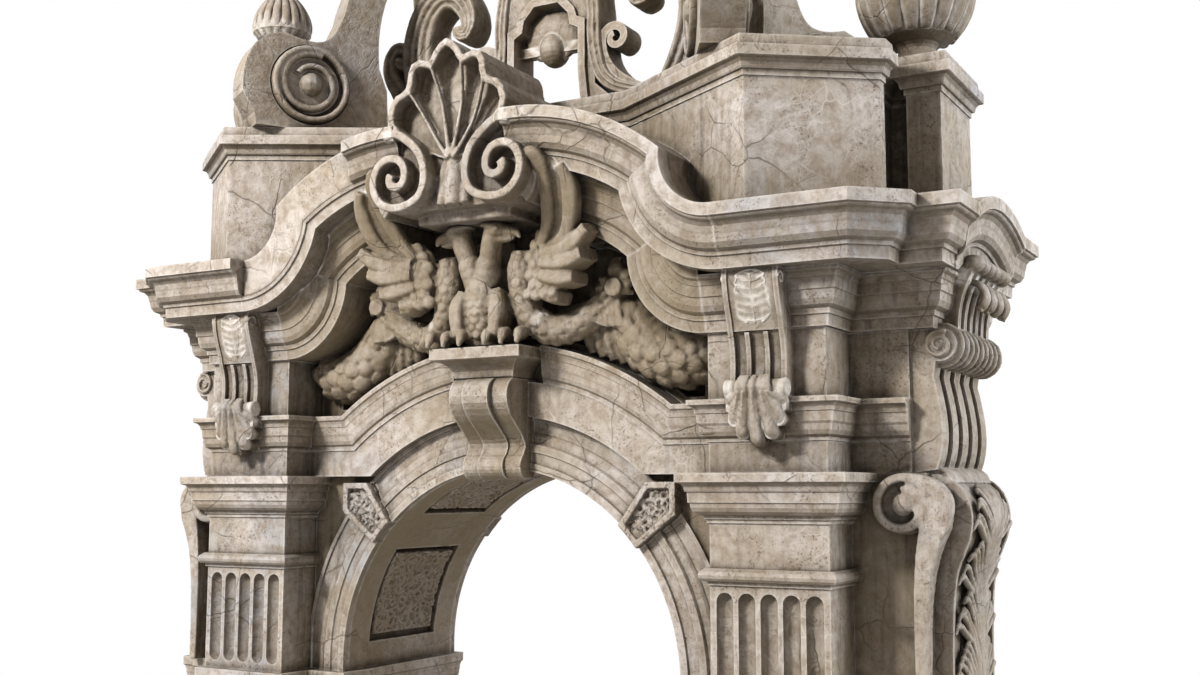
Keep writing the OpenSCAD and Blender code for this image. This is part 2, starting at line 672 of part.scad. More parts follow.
module fan_outline(inset) difference() {
    union() {
        lobes(-inset);
        polygon([shell_c + [-40, 20], shell_c + [40, 20], shell_c + [110, 260], shell_c + fan_side,
            shell_c + polar(lobe_d[1], lobe_a[1]), shell_c + [0, lobe_d[0]],
            shell_c + polar(lobe_d[1], 180 - lobe_a[1]), shell_c + [-fan_side[0], fan_side[1]],
            shell_c + [-110, 260]]);
    }
    for (s = [0, 1]) mirror([s, 0]) translate([scroll_x - inset, 0]) square([big, swan_c[1] + swan_r + inset]);
}
flute_share = 1.15;
module flute(a, d, r) {
    reach = polar(d, a);
    from = [0, -(front_y - 60), shell_c[1] + 40];
    to = [reach[0], -(front_y - 150), shell_c[1] + reach[1]];
    v = to - from;
    l = norm(v);
    translate(from) rotate([0, acos(v[2] / l), atan2(v[1], v[0])]) rotate_extrude()
        polygon([[0, 0], [12, 0], [0.9 * r, 0.86 * l], [r, l], [0.8 * r, l + 0.6 * r], [0, l + r]]);
}
module shell() difference() {
    union() {
        plate(shell_front, upper_half) intersection() {
            shell_outline();
            translate([-big, 0]) square([2 * big, attic_top]);
        }
        plate(shell_front, upper_half + cap_out) difference() {
            shell_outline();
            translate([-big, 0]) square([2 * big, attic_top]);
        }
    }
    plate(shell_front + 1, shell_front - hollow_in) fan_outline(rim_w);
    intersection() {
        plate(shell_front + 2, 0) fan_outline(rim_w + 12);
        for (i = [0 : 2]) for (s = [0 : min(i, 1)]) mirror([s, 0, 0])
            flute(lobe_a[i], lobe_d[i], flute_share * (lobe_r[i] - rim_w));
    }
}
module front_shell() color(pale) raised() shell();
module back_shell() color(pale) raised() rear() shell();

// Carved consoles under the cornice blocks: rims, a sunk panel, channels, a roll and a hanging leaf
console_x = pier_in + pier_w / 2;
console_rim = 34;
console_rib = 30;
panel_sink = 12;
channel_sink = 34;
roll_in = [150, upper_z + 55];
roll_half = 55;
console_p = [for (p = concat([[0, cornice_z], [245, cornice_z], [250, cornice_z - 25]],
    bezier([[250, cornice_z - 60], [235, cornice_z - 200], [175, cornice_z - 300], [165, cornice_z - 365]], 6),
    bezier([[160, bed_z - 20], [120, bed_z - 120], [112, bed_z - 220], [128, upper_z + 110]], 6),
    [[150, upper_z + 60], [150, upper_z + 4], [0, upper_z + 4]])) [-pier_half - p[0], p[1]]];
leaf_tips = [[0, -266], [94, -222], [146, -140], [168, -52]];
leaf_w = [46, 88];
leaf_p = [for (p = [[0, upper_z + 10], [150, upper_z + 10], [172, upper_z - 50], [168, string_z + 90],
    [150, string_z + 10], [110, string_z - 34], [0, string_z - 60]]) [-pier_half - p[0], p[1]]];
module console_part(sink, from, to) intersection() {
    polygon(console_p);
    translate([sink, 0]) polygon(console_p);
    translate([-big, from]) square([big, to - from]);
}
module leaf_lobes() for (i = [0 : 3]) for (s = [0 : min(i, 1)]) mirror([s, 0]) {
    ribbon([[leaf_tips[i][0] * 0.3, upper_z + 40], leaf_tips[i] + [0, upper_z]], leaf_w[0], leaf_w[1]);
    translate(leaf_tips[i] + [0, upper_z]) circle(leaf_w[1] / 2);
}
module consoles() pair() difference() {
    translate([console_x, 0, 0]) union() {
        side_slab(console_w / 2 - console_rim / 2) {
            console_part(panel_sink, bed_z - 20, big);
            console_part(channel_sink, 0, bed_z - 19);
        }
        for (s = [-1, 1]) {
            translate([s * (console_w - console_rim) / 2, 0, 0]) side_slab(console_rim / 2) polygon(console_p);
            translate([s * console_w / 6, 0, 0]) side_slab(console_rib / 2) console_part(4, 0, bed_z - 30);
        }
        side_slab(console_w / 2 + 12) translate([-pier_half - roll_in[0], roll_in[1]]) circle(roll_half);
        intersection() {
            side_slab(console_w / 2 + 12) polygon(leaf_p);
            plate(big, pier_half) leaf_lobes();
        }
    }
    level_run(0, big, string_rows, string_z, string_h, pier_half, string_out);
    level_run(0, big, bed_rows, bed_z, bed_h, pier_half, bed_out);
}
module front_consoles() color(pale) raised() consoles();
module back_consoles() color(pale) raised() rear() consoles();

// Scrolled supports on the flanks: a banded roll, a fluted bracket and a ribbed corbel under the hood
roll_c = [wing_out + 190, bed_z - 105];
roll_r = 105;
flank_w = 1120;
roll_bands = 5;
band_gap = 34;
roll_sink = 22;
bracket_ribs = 5;
rib_w = 136;
corbel_ribs = 6;
corbel_w = 800;
corbel_rib = 66;
flute_sink = 32;
leaf_half = 525;
bracket_p = concat([[wing_out, roll_c[1]]], [[roll_c[0] - 20, roll_c[1] - 60]],
    bezier([[wing_out + 146, roll_c[1] - 195], [wing_out + 190, roll_c[1] - 400],
        [wing_out + 230, roll_c[1] - 600], [wing_out + 153, frieze_z + 20]], 10), [[wing_out, frieze_z]]);
lower_p = concat([[foot_out, frieze_z], [foot_out + 44, frieze_z]],
    bezier([[foot_out + 60, frieze_z - 10], [foot_out + 260, frieze_z - 60],
        [foot_out + 290, frieze_z - 260], [foot_out + 240, frieze_z - 420]], 10),
    bezier([[foot_out + 200, frieze_z - 520], [foot_out + 130, frieze_z - 640],
        [foot_out + 120, frieze_z - 900], [foot_out + 115, impost_top]], 10), [[foot_out, impost_top]]);
corbel_top = cornice_z + 50;
corbel_p = concat([[wing_out + 60, roll_c[1]], [roll_c[0] + 60, roll_c[1]]],
    bezier([[roll_c[0] + 78, bed_z - 40], [roll_c[0] + 78, bed_z + 110], [flank_x - 30, bed_z + 250],
        [flank_x + 50, cornice_z + 10]], 8), [[flank_x + 50, corbel_top], [wing_out + 60, corbel_top]]);
module bed_side() polygon(concat([[0, bed_z]], [for (p = bed_rows) [bed_x + p[1] * bed_out, bed_z + p[0] * bed_h]],
    [[bed_x, cornice_z], [bed_x, big], [0, big]]));
module sunk(points, sink) intersection() {
    polygon(points);
    translate([-sink, 0]) polygon(points);
}
module bands_along(n, w, band) for (i = [0 : n - 1]) let (y = w / 2 - i * (w - band) / (n - 1))
    plate(y, y - band) children();
module flank_bracket() {
    plate(flank_w / 2, -flank_w / 2) union() {
        translate(roll_c) circle(roll_r - 14);
        translate([wing_out, roll_c[1] - 40]) square([190, 145]);
        sunk(bracket_p, flute_sink);
    }
    difference() {
        bands_along(roll_bands, flank_w, (flank_w - (roll_bands - 1) * band_gap) / roll_bands)
            translate(roll_c) circle(roll_r);
        for (s = [0, 1]) mirror([0, s, 0]) plate(flank_w / 2 + 1, flank_w / 2 - roll_sink)
            polygon(channel(roll_c, roll_r, 22, 90, 590, 0.24));
    }
    bands_along(bracket_ribs, flank_w, rib_w) polygon(bracket_p);
    difference() {
        union() {
            plate(corbel_w / 2, -corbel_w / 2) sunk(corbel_p, flute_sink);
            bands_along(corbel_ribs, corbel_w, corbel_rib) polygon(corbel_p);
        }
        plate(big, -big) bed_side();
    }
}
module flank_scrolls() color(pale) raised() pair() {
    flank_bracket();
    plate(leaf_half, -leaf_half) sunk(lower_p, flute_sink);
    bands_along(2, 2 * leaf_half, 40) polygon(lower_p);
}

// Side volutes on the wing faces
side_c = [wing_out - 25, frieze_z - 200];
side_r = 195;
module side_volutes() color(pale) raised() four() difference() {
    plate(wing_half + 140, wing_half) union() {
        translate(side_c) circle(side_r);
        polygon(concat(bezier([side_c + [0, side_r], side_c + [150, side_r + 10], side_c + [320, 120],
            side_c + [290, -40]], 10), bezier([side_c + [270, -150], side_c + [150, -380], side_c + [120, -560],
            side_c + [125, impost_top - side_c[1]]], 10), bezier([side_c + [60, impost_top - side_c[1]],
            side_c + [40, -560], side_c + [60, -330], side_c + [100, -150]], 10)));
    }
    plate(wing_half + 141, wing_half + 110) polygon(channel(side_c, side_r, 40, 60, 600, 0.22));
}

// Eagle on the abacus
perch = abacus_top;
eagle_room = shell_c[1] - web_drop - perch;
eagle_k = eagle_room / 868;
eagle_y = -(pier_half + 50);
feather_roots = [[560, 640], [570, 610], [560, 570], [540, 530], [510, 480], [470, 420], [420, 350]];
feather_tips = [[790, 1140], [895, 1060], [995, 935], [1010, 745], [935, 590], [845, 435], [690, 310]];
wing_arm = [[110, 330], [110, 600], [240, 690], [400, 770], [520, 800], [620, 770], [650, 650], [600, 480],
    [500, 340], [380, 270], [220, 250]];
module feather(i) ribbon(bezier([feather_roots[i], feather_roots[i] * 0.6 + feather_tips[i] * 0.4 + [50 - 6 * i, -10],
    feather_roots[i] * 0.3 + feather_tips[i] * 0.7 + [45 - 6 * i, -10], feather_tips[i]], 6), 95, 120);
module eagle_body() {
    rotate_extrude() polygon(concat([[0, 60]], bezier([[60, 60], [200, 130], [190, 360], [130, 480]], 10),
        bezier([[120, 500], [110, 530], [90, 560], [0, 580]], 6)));
    for (s = [-1, 1]) {
        translate([s * 120, -50, 30]) rotate([0, s * 8, 0]) cylinder(h = 260, r1 = 48, r2 = 95);
        for (t = [-52, 0, 52]) {
            translate([s * 125 + t, -110, 24]) sphere(24);
            translate([s * 125 + t * 0.6, -60, 40]) rotate([100, 0, 0]) cylinder(h = 60, r1 = 24, r2 = 22);
        }
        translate([s * 50, 0, 420]) rotate([0, s * 17, 0]) cylinder(h = 350, r1 = 100, r2 = 62);
        translate([s * 165, -8, 765]) sphere(70);
        translate([s * 210, -8, 765]) rotate([0, s * 105, 0]) cylinder(h = 135, r1 = 40, r2 = 6);
        translate([s * 160, -8, 815]) cylinder(h = 25, r = 62);
    }
}
module eagle() color(warm) raised() translate([0, eagle_y, perch]) scale(eagle_k) {
    eagle_body();
    pair() {
        plate(130, -60) polygon(wing_arm);
        for (i = [0 : len(feather_tips) - 1]) plate(165 - 8 * i, 104) feather(i);
        plate(150, 60) translate([560, 640]) circle(95);
    }
}

// Garlands across the tympanum, hung from a rosette
rosette = [pier_in - 800, bed_z + 290];
swag = bezier([rosette + [10, -30], rosette + [50, -370], rosette + [290, upper_z + 150 - rosette[1]],
    [pier_in - 110, bed_z - 130]], 14);
rope = bezier([rosette + [-50, -90], rosette + [-150, -250], rosette + [-310, -310], [480, bed_z + 10]], 8);
module garlands() color(warm) raised() pair() difference() {
    union() {
        plate(upper_half + 95, recess_half) ribbon(swag, 150, 200);
        plate(upper_half + 60, recess_half) ribbon(rope, 110, 80);
        translate([rosette[0], -recess_half, rosette[1]]) rotate([90, 0, 0]) cylinder(h = 300, r1 = 115, r2 = 95);
    }
    tympanum_solid();
    plate(big, 0) circle(crown_r);
    architrave();
}

// Attic
front_x = pier_in + 405;
front_out = pier_half + 307;
slot_from = wing_out - 210;
slot_to = wing_out - 35;
slot_half = 150;
urn_half = 375;
urn_out = wing_out + 195;
attic_half_plan = [[console_x - 1189, -upper_half], [front_x, -front_out], [block_x, -block_y], [block_x, 86 - block_y],
    [slot_from, 166 - block_y], [slot_from, -slot_half], [slot_to, -slot_half], [slot_to, -urn_half],
    [urn_out, -urn_half], [urn_out, urn_half], [slot_to, urn_half], [slot_to, slot_half], [slot_from, slot_half],
    [slot_from, block_y - 166], [block_x, block_y - 86], [block_x, block_y], [front_x, front_out],
    [console_x - 1189, upper_half]];
attic_plan = concat(attic_half_plan, [for (p = flip(attic_half_plan)) [-p[0], p[1]]]);
module attic_wall() color(pale) raised() difference() {
    translate([0, 0, cornice_top]) linear_extrude(attic_h) polygon(attic_plan);
    pair() {
        plate(big, upper_half) under_lip();
        plate(-upper_half, -big) under_lip();
        box([hood_back, -hood_half, 0], [big, hood_half, cornice_top + 135]);
    }
}
module attic_cap() color(pale) raised() translate([0, 0, attic_top])
    moulded(attic_plan, cap_rows, cap_h, cap_out, free_edges(attic_plan));

// Carved wings set askew on the attic corners
askew_from = [front_x - 165, 57 - front_out];
askew_to = [front_x - 865, -75];
askew_half = 150;
askew_angle = atan2(askew_to[1] - askew_from[1], askew_to[0] - askew_from[0]);
disc_at = [430, 375];
crest_k = crest_h / 2040;
module wing_outline() union() {
    polygon(concat([[0, 0], [-20, 90]], bezier([[-110, 250], [-130, 480], [-60, 640], [60, 735]], 8),
        bezier([[200, 780], [420, 720], [560, 700], [640, 860]], 8), bezier([[700, 1000], [760, 1300], [900, 1600],
        [1150, 1800]], 8), [[1300, 1700]], bezier([[1200, 1500], [1020, 1200], [980, 900], [1010, 600]], 8),
        [[1080, 420], [1100, 0]]));
}
module attic_wings() color(pale) raised() four() translate([askew_from[0], askew_from[1], cap_top])
    rotate([0, 0, askew_angle]) difference() {
        scale([1, 1, crest_k]) plate(askew_half, -askew_half) wing_outline();
        for (s = [0, 1]) mirror([0, s, 0]) plate(askew_half + 1, askew_half - 40) difference() {
            translate(disc_at) circle(330);
            translate(disc_at) circle(235);
        }
    }

// Central cartouche of the crest: a shouldered opening with an egg, between scrolled feet
opening = [[330, 130], [300, 420], [300, 760], [225, 800], [205, 900], [110, 1000]];
opening_frame = [[395, 130], [362, 430], [362, 825], [286, 858], [262, 935], [140, 1066]];
egg_at = 664;
egg_r = [125, 145];
c_eye = [620, 634];
c_path = concat(flip(spiral(c_eye, 118, 40, 180, -250, 26)),
    bezier([[502, 600], [505, 420], [640, 250], [1040, 120]], 8));
module both_ways(points) polygon(concat([for (p = points) p], [for (p = flip(points)) [-p[0], p[1]]]));
module crest_shape() difference() {
    union() {
        both_ways(concat([[430, 0], [440, 300], [420, 700], [440, 900], [400, 1150]],
            bezier([[330, 1250], [250, 1500], [260, 1700], [90, crest_h]], 8)));
        for (s = [0, 1]) mirror([s, 0]) {
            ribbon(c_path, 44, 84);
            polygon([[400, 0], [1090, 0], [1050, 90], [800, 150], [560, 190], [400, 330]]);
        }
    }
    both_ways(opening);
}
module crest() color(pale) raised() translate([0, 0, cap_top]) {
    plate(120, -120) crest_shape();
    for (t = [0, 1]) mirror([0, t, 0]) plate(150, 100) difference() {
        both_ways(opening_frame);
        both_ways(opening);
        translate([-big, -big]) square([2 * big, big + 131]);
    }
    plate(45, -45) translate([-310, egg_at - 40]) square([620, 80]);
    translate([0, 0, egg_at]) rotate_extrude() polygon([for (a = [-90 : 15 : 90]) [egg_r[0] * cos(a), egg_r[1] * sin(a)]]);
}

// Urns over the flanks
urn_x = urn_out - 255;
module urns() color(pale) raised() pair() translate([urn_x, 0, cap_top]) rotate_extrude() polygon(concat([[0, 0], [240, 0], [240, 60]],
    bezier([[200, 80], [120, 120], [110, 160], [150, 200]], 6), bezier([[260, 240], [400, 400], [420, 600], [340, 760]], 8),
    bezier([[300, 820], [140, 860], [120, 980], [160, 1100]], 6), [[250, 1130], [250, 1190], [180, 1220]],
    bezier([[260, 1300], [260, 1450], [120, 1620], [0, 1740]], 8)));

plinths();
lower_piers();
impost_cornices();
wing_walls();
arch_wall();
soffit_panels();
front_archivolt();
back_archivolt();
ear_blocks();
bands();
front_arch_cornice();
back_arch_cornice();
front_keystone();
back_keystone();
front_pilasters();
back_pilasters();
front_capitals();
back_capitals();
friezes();
string_courses();
upper_piers();
bed_mouldings();
tympanum_wall();
front_architrave();
back_architrave();
sweeps();
cornices();
front_pediment();
back_pediment();
front_scrolls();
back_scrolls();
front_shell();
back_shell();
front_consoles();
back_consoles();
flank_hoods();
flank_scrolls();
side_volutes();
eagle();
garlands();
attic_wall();
attic_cap();
attic_wings();
crest();
urns();
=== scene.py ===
"""A carved stone gateway: weathered limestone, and the fine carving laid over its masonry."""
import math

import bpy
import numpy as np
from bpy.props import FloatProperty, FloatVectorProperty, IntProperty, PointerProperty
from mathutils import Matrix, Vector, noise


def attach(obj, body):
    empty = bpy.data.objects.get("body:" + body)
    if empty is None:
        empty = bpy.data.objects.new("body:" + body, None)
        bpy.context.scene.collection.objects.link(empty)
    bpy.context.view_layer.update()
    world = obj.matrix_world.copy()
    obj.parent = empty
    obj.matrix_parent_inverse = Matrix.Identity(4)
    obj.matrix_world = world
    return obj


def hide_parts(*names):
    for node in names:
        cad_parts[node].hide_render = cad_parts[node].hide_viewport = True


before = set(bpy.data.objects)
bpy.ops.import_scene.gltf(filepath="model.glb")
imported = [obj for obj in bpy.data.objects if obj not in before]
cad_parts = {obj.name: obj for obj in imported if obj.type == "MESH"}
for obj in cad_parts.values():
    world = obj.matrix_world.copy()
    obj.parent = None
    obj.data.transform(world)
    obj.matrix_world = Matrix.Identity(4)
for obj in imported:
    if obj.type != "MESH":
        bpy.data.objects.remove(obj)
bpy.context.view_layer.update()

bl_info = {
    "name": "Stone gateway",
    "version": (1, 0, 0),
    "blender": (4, 5, 0),
    "location": "3D View > Sidebar > Gateway",
    "description": "Weathered limestone and carved ornament for a stone gateway",
    "category": "Add Mesh",
}

BODY = "root"
SPRING_Z = 2.9

# Nodes by the stone they are cut from
CARVED = ("front_scrolls", "back_scrolls", "front_shell", "back_shell", "front_consoles", "back_consoles",
          "front_keystone", "back_keystone", "flank_scrolls", "side_volutes", "attic_wings", "crest", "urns")
SHELTERED = ("arch_wall", "soffit_panels", "tympanum_wall", "sweeps", "front_architrave", "back_architrave",
             "wing_walls", "eagle", "garlands")
ROUGH = ("ear_blocks",)


# Colour and node helpers


def linear(code):
    """sRGB hex to linear colour."""
    values = [int(code[i:i + 2], 16) / 255 for i in (1, 3, 5)]
    return [v / 12.92 if v <= 0.04045 else ((v + 0.055) / 1.055) ** 2.4 for v in values]


def add_node(tree, kind, inputs=None, **settings):
    """Add a node, set what it has and link what feeds it. An input is a value or a (node, socket) pair."""
    node = tree.nodes.new(kind)
    for key, value in settings.items():
        setattr(node, key, value)
    for key, value in (inputs or {}).items():
        socket = node.inputs[key]
        if isinstance(value, tuple) and len(value) == 2 and hasattr(value[0], "outputs"):
            tree.links.new(value[0].outputs[value[1]], socket)
        else:
            socket.default_value = value
    return node


def blend_colour(tree, factor, low, high, mode="MIX"):
    """Mix two colours; each may be a colour or a (node, socket) pair."""
    node = add_node(tree, "ShaderNodeMix", data_type="RGBA", blend_type=mode)
    for index, value in ((0, factor), (6, low), (7, high)):
        if isinstance(value, tuple) and hasattr(value[0], "outputs"):
            tree.links.new(value[0].outputs[value[1]], node.inputs[index])
        else:
            node.inputs[index].default_value = value if index == 0 else (*value, 1)
    return node, 2


def spread(tree, source, low, high, to_low=0.0, to_high=1.0):
    """Clamp and stretch a value between two levels."""
    node = add_node(tree, "ShaderNodeMapRange", {0: source, 1: low, 2: high, 3: to_low, 4: to_high})
    return node, 0


def maths(tree, operation, first, second=0.0, clamp=True):
    return add_node(tree, "ShaderNodeMath", {0: first, 1: second}, operation=operation, use_clamp=clamp), 0


def cloud(tree, place, per_metre, detail=4, rough=0.55, stretch=None):
    """Noise of a given number of features in a metre; stretch squeezes it along an axis."""
    if stretch:
        place = (add_node(tree, "ShaderNodeMapping", {0: place, 3: stretch}), 0)
    node = add_node(tree, "ShaderNodeTexNoise", {"Vector": place, "Scale": per_metre, "Detail": detail,
                                                 "Roughness": rough})
    return node, 0


# Materials


def limestone(name, settings, patina=1.0, dirt_and_shade_strength=1.0, pitted=0.0, streaks=1.0, aged=0.0):
    """Weathered limestone: a dull, warm stone with veins, pits, ochre patina where rain never washes it, and dark
    brown in its hollows and on its undersides that is painted shade, mixed with real staining in the crevices. A
    dry stone, so its gloss is low: roughness 0.62 to 0.9, IOR 1.55."""
    stone = bpy.data.materials.new(name)
    stone.use_nodes = True
    tree = stone.node_tree
    tree.nodes.clear()
    place = (add_node(tree, "ShaderNodeTexCoord"), "Object")
    facing = add_node(tree, "ShaderNodeNewGeometry")
    axes = add_node(tree, "ShaderNodeSeparateXYZ", {0: (facing, "Normal")})
    point = add_node(tree, "ShaderNodeSeparateXYZ", {0: place})
    warp = add_node(tree, "ShaderNodeVectorMath", {0: (add_node(
        tree, "ShaderNodeTexNoise", {"Vector": place, "Scale": 2.6, "Detail": 3}), 1), 3: 0.22}, operation="SCALE")
    bent = (add_node(tree, "ShaderNodeVectorMath", {0: place, 1: (warp, 0)}, operation="ADD"), 0)

    # Beds of the stone, patches of about 0.9 m, and the blue-grey ones among them
    bed = cloud(tree, place, 1.1, 5, 0.6)
    colour = blend_colour(tree, spread(tree, bed, 0.36, 0.62), settings.pale, settings.warm)
    colour = blend_colour(tree, spread(tree, cloud(tree, bent, 0.75, 4), 0.56, 0.68, 0, 0.75), colour,
                          settings.cool)
    # Mottling of 70 mm and grain of 12 mm
    mottle = cloud(tree, bent, 14, 6, 0.62)
    colour = blend_colour(tree, spread(tree, mottle, 0.42, 0.66, 0, 0.6), colour, settings.stain)
    grain = cloud(tree, place, 85, 3, 0.7)
    colour = blend_colour(tree, 0.55, colour, (spread(tree, grain, 0.3, 0.7, 0.78, 1.12)[0], 0), "MULTIPLY")
    # Brown blotches of 0.15 m, and dark specks of 15 mm that gather in patches
    blotch = spread(tree, cloud(tree, bent, 5.5, 6, 0.7), 0.5, 0.62, 0, 0.5)
    colour = blend_colour(tree, blotch, colour, settings.stain)
    speck = maths(tree, "MULTIPLY", spread(tree, cloud(tree, place, 55, 4, 0.65), 0.55, 0.64),
                  spread(tree, cloud(tree, bent, 3.5, 3), 0.45, 0.6, 0, 0.75))
    colour = blend_colour(tree, speck, colour, settings.soot_and_shade)
    # Hairline veins, one or two in a block of 0.4 m, dark in some places and flaked pale in others
    crack = add_node(tree, "ShaderNodeTexVoronoi", {"Vector": bent, "Scale": 2.3}, feature="DISTANCE_TO_EDGE")
    vein = maths(tree, "MULTIPLY", spread(tree, (crack, 0), 0.0, 0.016, 1, 0),
                 spread(tree, cloud(tree, place, 1.7, 2), 0.48, 0.6))
    flake = add_node(tree, "ShaderNodeTexVoronoi", {"Vector": bent, "Scale": 6.5}, feature="DISTANCE_TO_EDGE")
    chip = maths(tree, "MULTIPLY", spread(tree, (flake, 0), 0.0, 0.03, 1, 0),
                 spread(tree, cloud(tree, place, 2.4, 2), 0.52, 0.62))
    colour = blend_colour(tree, maths(tree, "MULTIPLY", chip, 0.5), colour, settings.chalk)
    colour = blend_colour(tree, maths(tree, "MULTIPLY", vein, 0.55), colour, settings.soot_and_shade)

    # Ochre patina in sheltered places: hollows a hand's breadth to half a metre deep, and undersides
    shelter = add_node(tree, "ShaderNodeAmbientOcclusion", {"Distance": 0.6}, samples=2, only_local=False)
    hidden = spread(tree, (shelter, "AO"), 0.42, 0.93, 1.2, 0)
    under = spread(tree, (axes, 2), -0.7, 0.0, 0.9, 0)
    ragged = spread(tree, cloud(tree, bent, 3.2, 5, 0.65), 0.32, 0.66, 0.25, 1.25)
    sheltered = maths(tree, "MULTIPLY", maths(tree, "ADD", hidden, under), ragged)
    colour = blend_colour(tree, maths(tree, "MULTIPLY", sheltered, patina), colour, settings.ochre)
    # Painted shade: faces that turn downwards are darkened towards near-black brown, more the steeper they face
    # down
    colour = blend_colour(tree, maths(tree, "MULTIPLY", under, 0.55), colour, settings.soot_and_shade)
    if aged:
        colour = blend_colour(tree, maths(tree, "MULTIPLY",
                                          spread(tree, cloud(tree, bent, 1.6, 5, 0.6), 0.3, 0.62, 0.5, 1),
                                          aged), colour, settings.ochre)
    # Painted shade: places the 0.6 m occlusion finds enclosed are darkened towards near-black brown, broken up by
    # the mottling
    painted_recess_shade = maths(tree, "MULTIPLY", spread(tree, (shelter, "AO"), 0.1, 0.72, 0.85, 0),
                  spread(tree, mottle, 0.3, 0.6, 0.7, 1))
    colour = blend_colour(tree, painted_recess_shade, colour, settings.soot_and_shade)
    # Rain streaks: 40 mm wide, drawn out down the walls, darker where the stone is sheltered
    run = spread(tree, cloud(tree, place, 1.0, 4, 0.6, (17, 17, 1.3)), 0.5, 0.72)
    upright = spread(tree, maths(tree, "ABSOLUTE", (axes, 2)), 0.25, 0.75, 1, 0)
    washed = maths(tree, "MULTIPLY", maths(tree, "MULTIPLY", run, upright),
                   maths(tree, "MULTIPLY", maths(tree, "ADD", hidden, 0.2), streaks))
    colour = blend_colour(tree, maths(tree, "MULTIPLY", washed, 0.75), colour, settings.soot_and_shade)
    # Dark brown in the crevices, 80 mm deep, partly dirt and partly painted shade; and splashed mud over the lowest
    # three quarters of a metre
    crevice = add_node(tree, "ShaderNodeAmbientOcclusion", {"Distance": 0.08}, samples=1, only_local=False)
    broken = spread(tree, mottle, 0.3, 0.65, 0.55, 1.15)
    crevice_dirt_and_shade = maths(tree, "MULTIPLY", spread(tree, (crevice, "AO"), 0.38, 0.97, 1, 0), broken)
    colour = blend_colour(tree, maths(tree, "MULTIPLY", crevice_dirt_and_shade, 0.92 * dirt_and_shade_strength), colour, settings.soot_and_shade)
    splash = maths(tree, "MULTIPLY", spread(tree, (point, 2), 0.05, 0.75, 0.6, 0), ragged)
    colour = blend_colour(tree, splash, colour, settings.stain)
    # Edges rubbed pale: where the stone turns outwards within 18 mm
    edge = add_node(tree, "ShaderNodeAmbientOcclusion", {"Distance": 0.018}, samples=1, inside=True)
    rubbed = maths(tree, "MULTIPLY", spread(tree, (edge, "AO"), 0.55, 0.9, 1, 0),
                   spread(tree, cloud(tree, place, 9, 3), 0.35, 0.6, 0.2, 0.85))
    colour = blend_colour(tree, rubbed, colour, settings.chalk)

    # Tooling and wear of the surface: pits of 12 mm, undulation of 90 mm and a sandy grain
    pit = add_node(tree, "ShaderNodeTexVoronoi", {"Vector": place, "Scale": 34, "Randomness": 1})
    pits = maths(tree, "MULTIPLY", spread(tree, (pit, 0), 0.08, 0.3, 1, 0),
                 spread(tree, cloud(tree, place, 5, 3), 0.5 - 0.3 * pitted, 0.62))
    worm = spread(tree, cloud(tree, bent, 21, 2, 0.4), 0.42, 0.56)
    relief = maths(tree, "ADD", maths(tree, "MULTIPLY", mottle, 0.5, False),
                   maths(tree, "MULTIPLY", grain, 0.13, False),
                   False)
    for cut, depth in ((pits, 0.35), (vein, 0.4), (worm, 0.9 * pitted)):
        relief = maths(tree, "SUBTRACT", relief, maths(tree, "MULTIPLY", cut, depth, False), False)
    bump = add_node(tree, "ShaderNodeBump", {"Strength": 0.7, "Distance": 0.024, "Height": relief})
    gloss = maths(tree, "ADD", spread(tree, mottle, 0.35, 0.65, 0.6, 0.82),
                  maths(tree, "MULTIPLY", sheltered, 0.15))
    surface = add_node(tree, "ShaderNodeBsdfPrincipled", {"Base Color": colour, "Roughness": gloss,
                                                          "Normal": (bump, 0), "IOR": 1.55,
                                                          "Specular IOR Level": 0.4})
    add_node(tree, "ShaderNodeOutputMaterial", {0: (surface, 0)})
    return stone


def stones():
    """The four finishes of the gateway's limestone, made once."""
    settings = bpy.context.scene.gateway_stone
    if "limestone_rubbed" not in bpy.data.materials:
        limestone("limestone_rubbed", settings, 0.8, 0.95)
        limestone("limestone_carved", settings, 0.9, 1.0, 0.1, aged=0.26)
        limestone("limestone_sheltered", settings, 1.15, 1.0, 0.05, aged=0.62)
        limestone("limestone_vermiculated", settings, 0.7, 1.0, 1.0, 0.4)
    return {key: bpy.data.materials["limestone_" + key]
            for key in ("rubbed", "carved", "sheltered", "vermiculated")}


# Carving kit: closed shapes that overlap and are fused into one carved surface


OUT_FRONT = (0.0, -1.0, 0.0)


def unit(vectors):
    return vectors / np.maximum(np.linalg.norm(vectors, axis=-1, keepdims=True), 1e-9)


def curve(points, count):
    """A smooth line of the given number of points through the given ones."""
    points = np.asarray(points, float)
    padded = np.vstack([2 * points[0] - points[1], points, 2 * points[-1] - points[-2]])
    result = []
    for step in np.linspace(0, len(points) - 1, count):
        i = min(int(step), len(points) - 2)
        t = step - i
        a, b, c, d = padded[i:i + 4]
        result.append(0.5 * (2 * b + (c - a) * t + (2 * a - 5 * b + 4 * c - d) * t ** 2
                             + (3 * b - a - 3 * c + d) * t ** 3))
    return np.array(result)


def along(path, outward):
    """Directions ahead, sideways and outwards at each point of a path."""
    ahead = unit(np.gradient(path, axis=0))
    side = unit(np.cross(ahead, np.asarray(outward, float)))
    return ahead, side, np.cross(side, ahead)


def ball(rings, sides):
    """Points and faces of a ball of radius 1."""
    points = [(0, 0, -1)]
    for i in range(1, rings):
        up = -math.pi / 2 + math.pi * i / rings
        points += [(math.cos(up) * math.cos(a), math.cos(up) * math.sin(a), math.sin(up))
                   for a in np.linspace(0, 2 * math.pi, sides, endpoint=False)]
    points.append((0, 0, 1))
    top = len(points) - 1
    faces = [(0, 1 + (j + 1) % sides, 1 + j) for j in range(sides)]
    for i in range(rings - 2):
        low = 1 + i * sides
        faces += [(low + j, low + (j + 1) % sides, low + sides + (j + 1) % sides, low + sides + j)
                  for j in range(sides)]
    low = 1 + (rings - 2) * sides
    return np.array(points), faces + [(low + j, low + (j + 1) % sides, top) for j in range(sides)]


BALL = ball(6, 10)


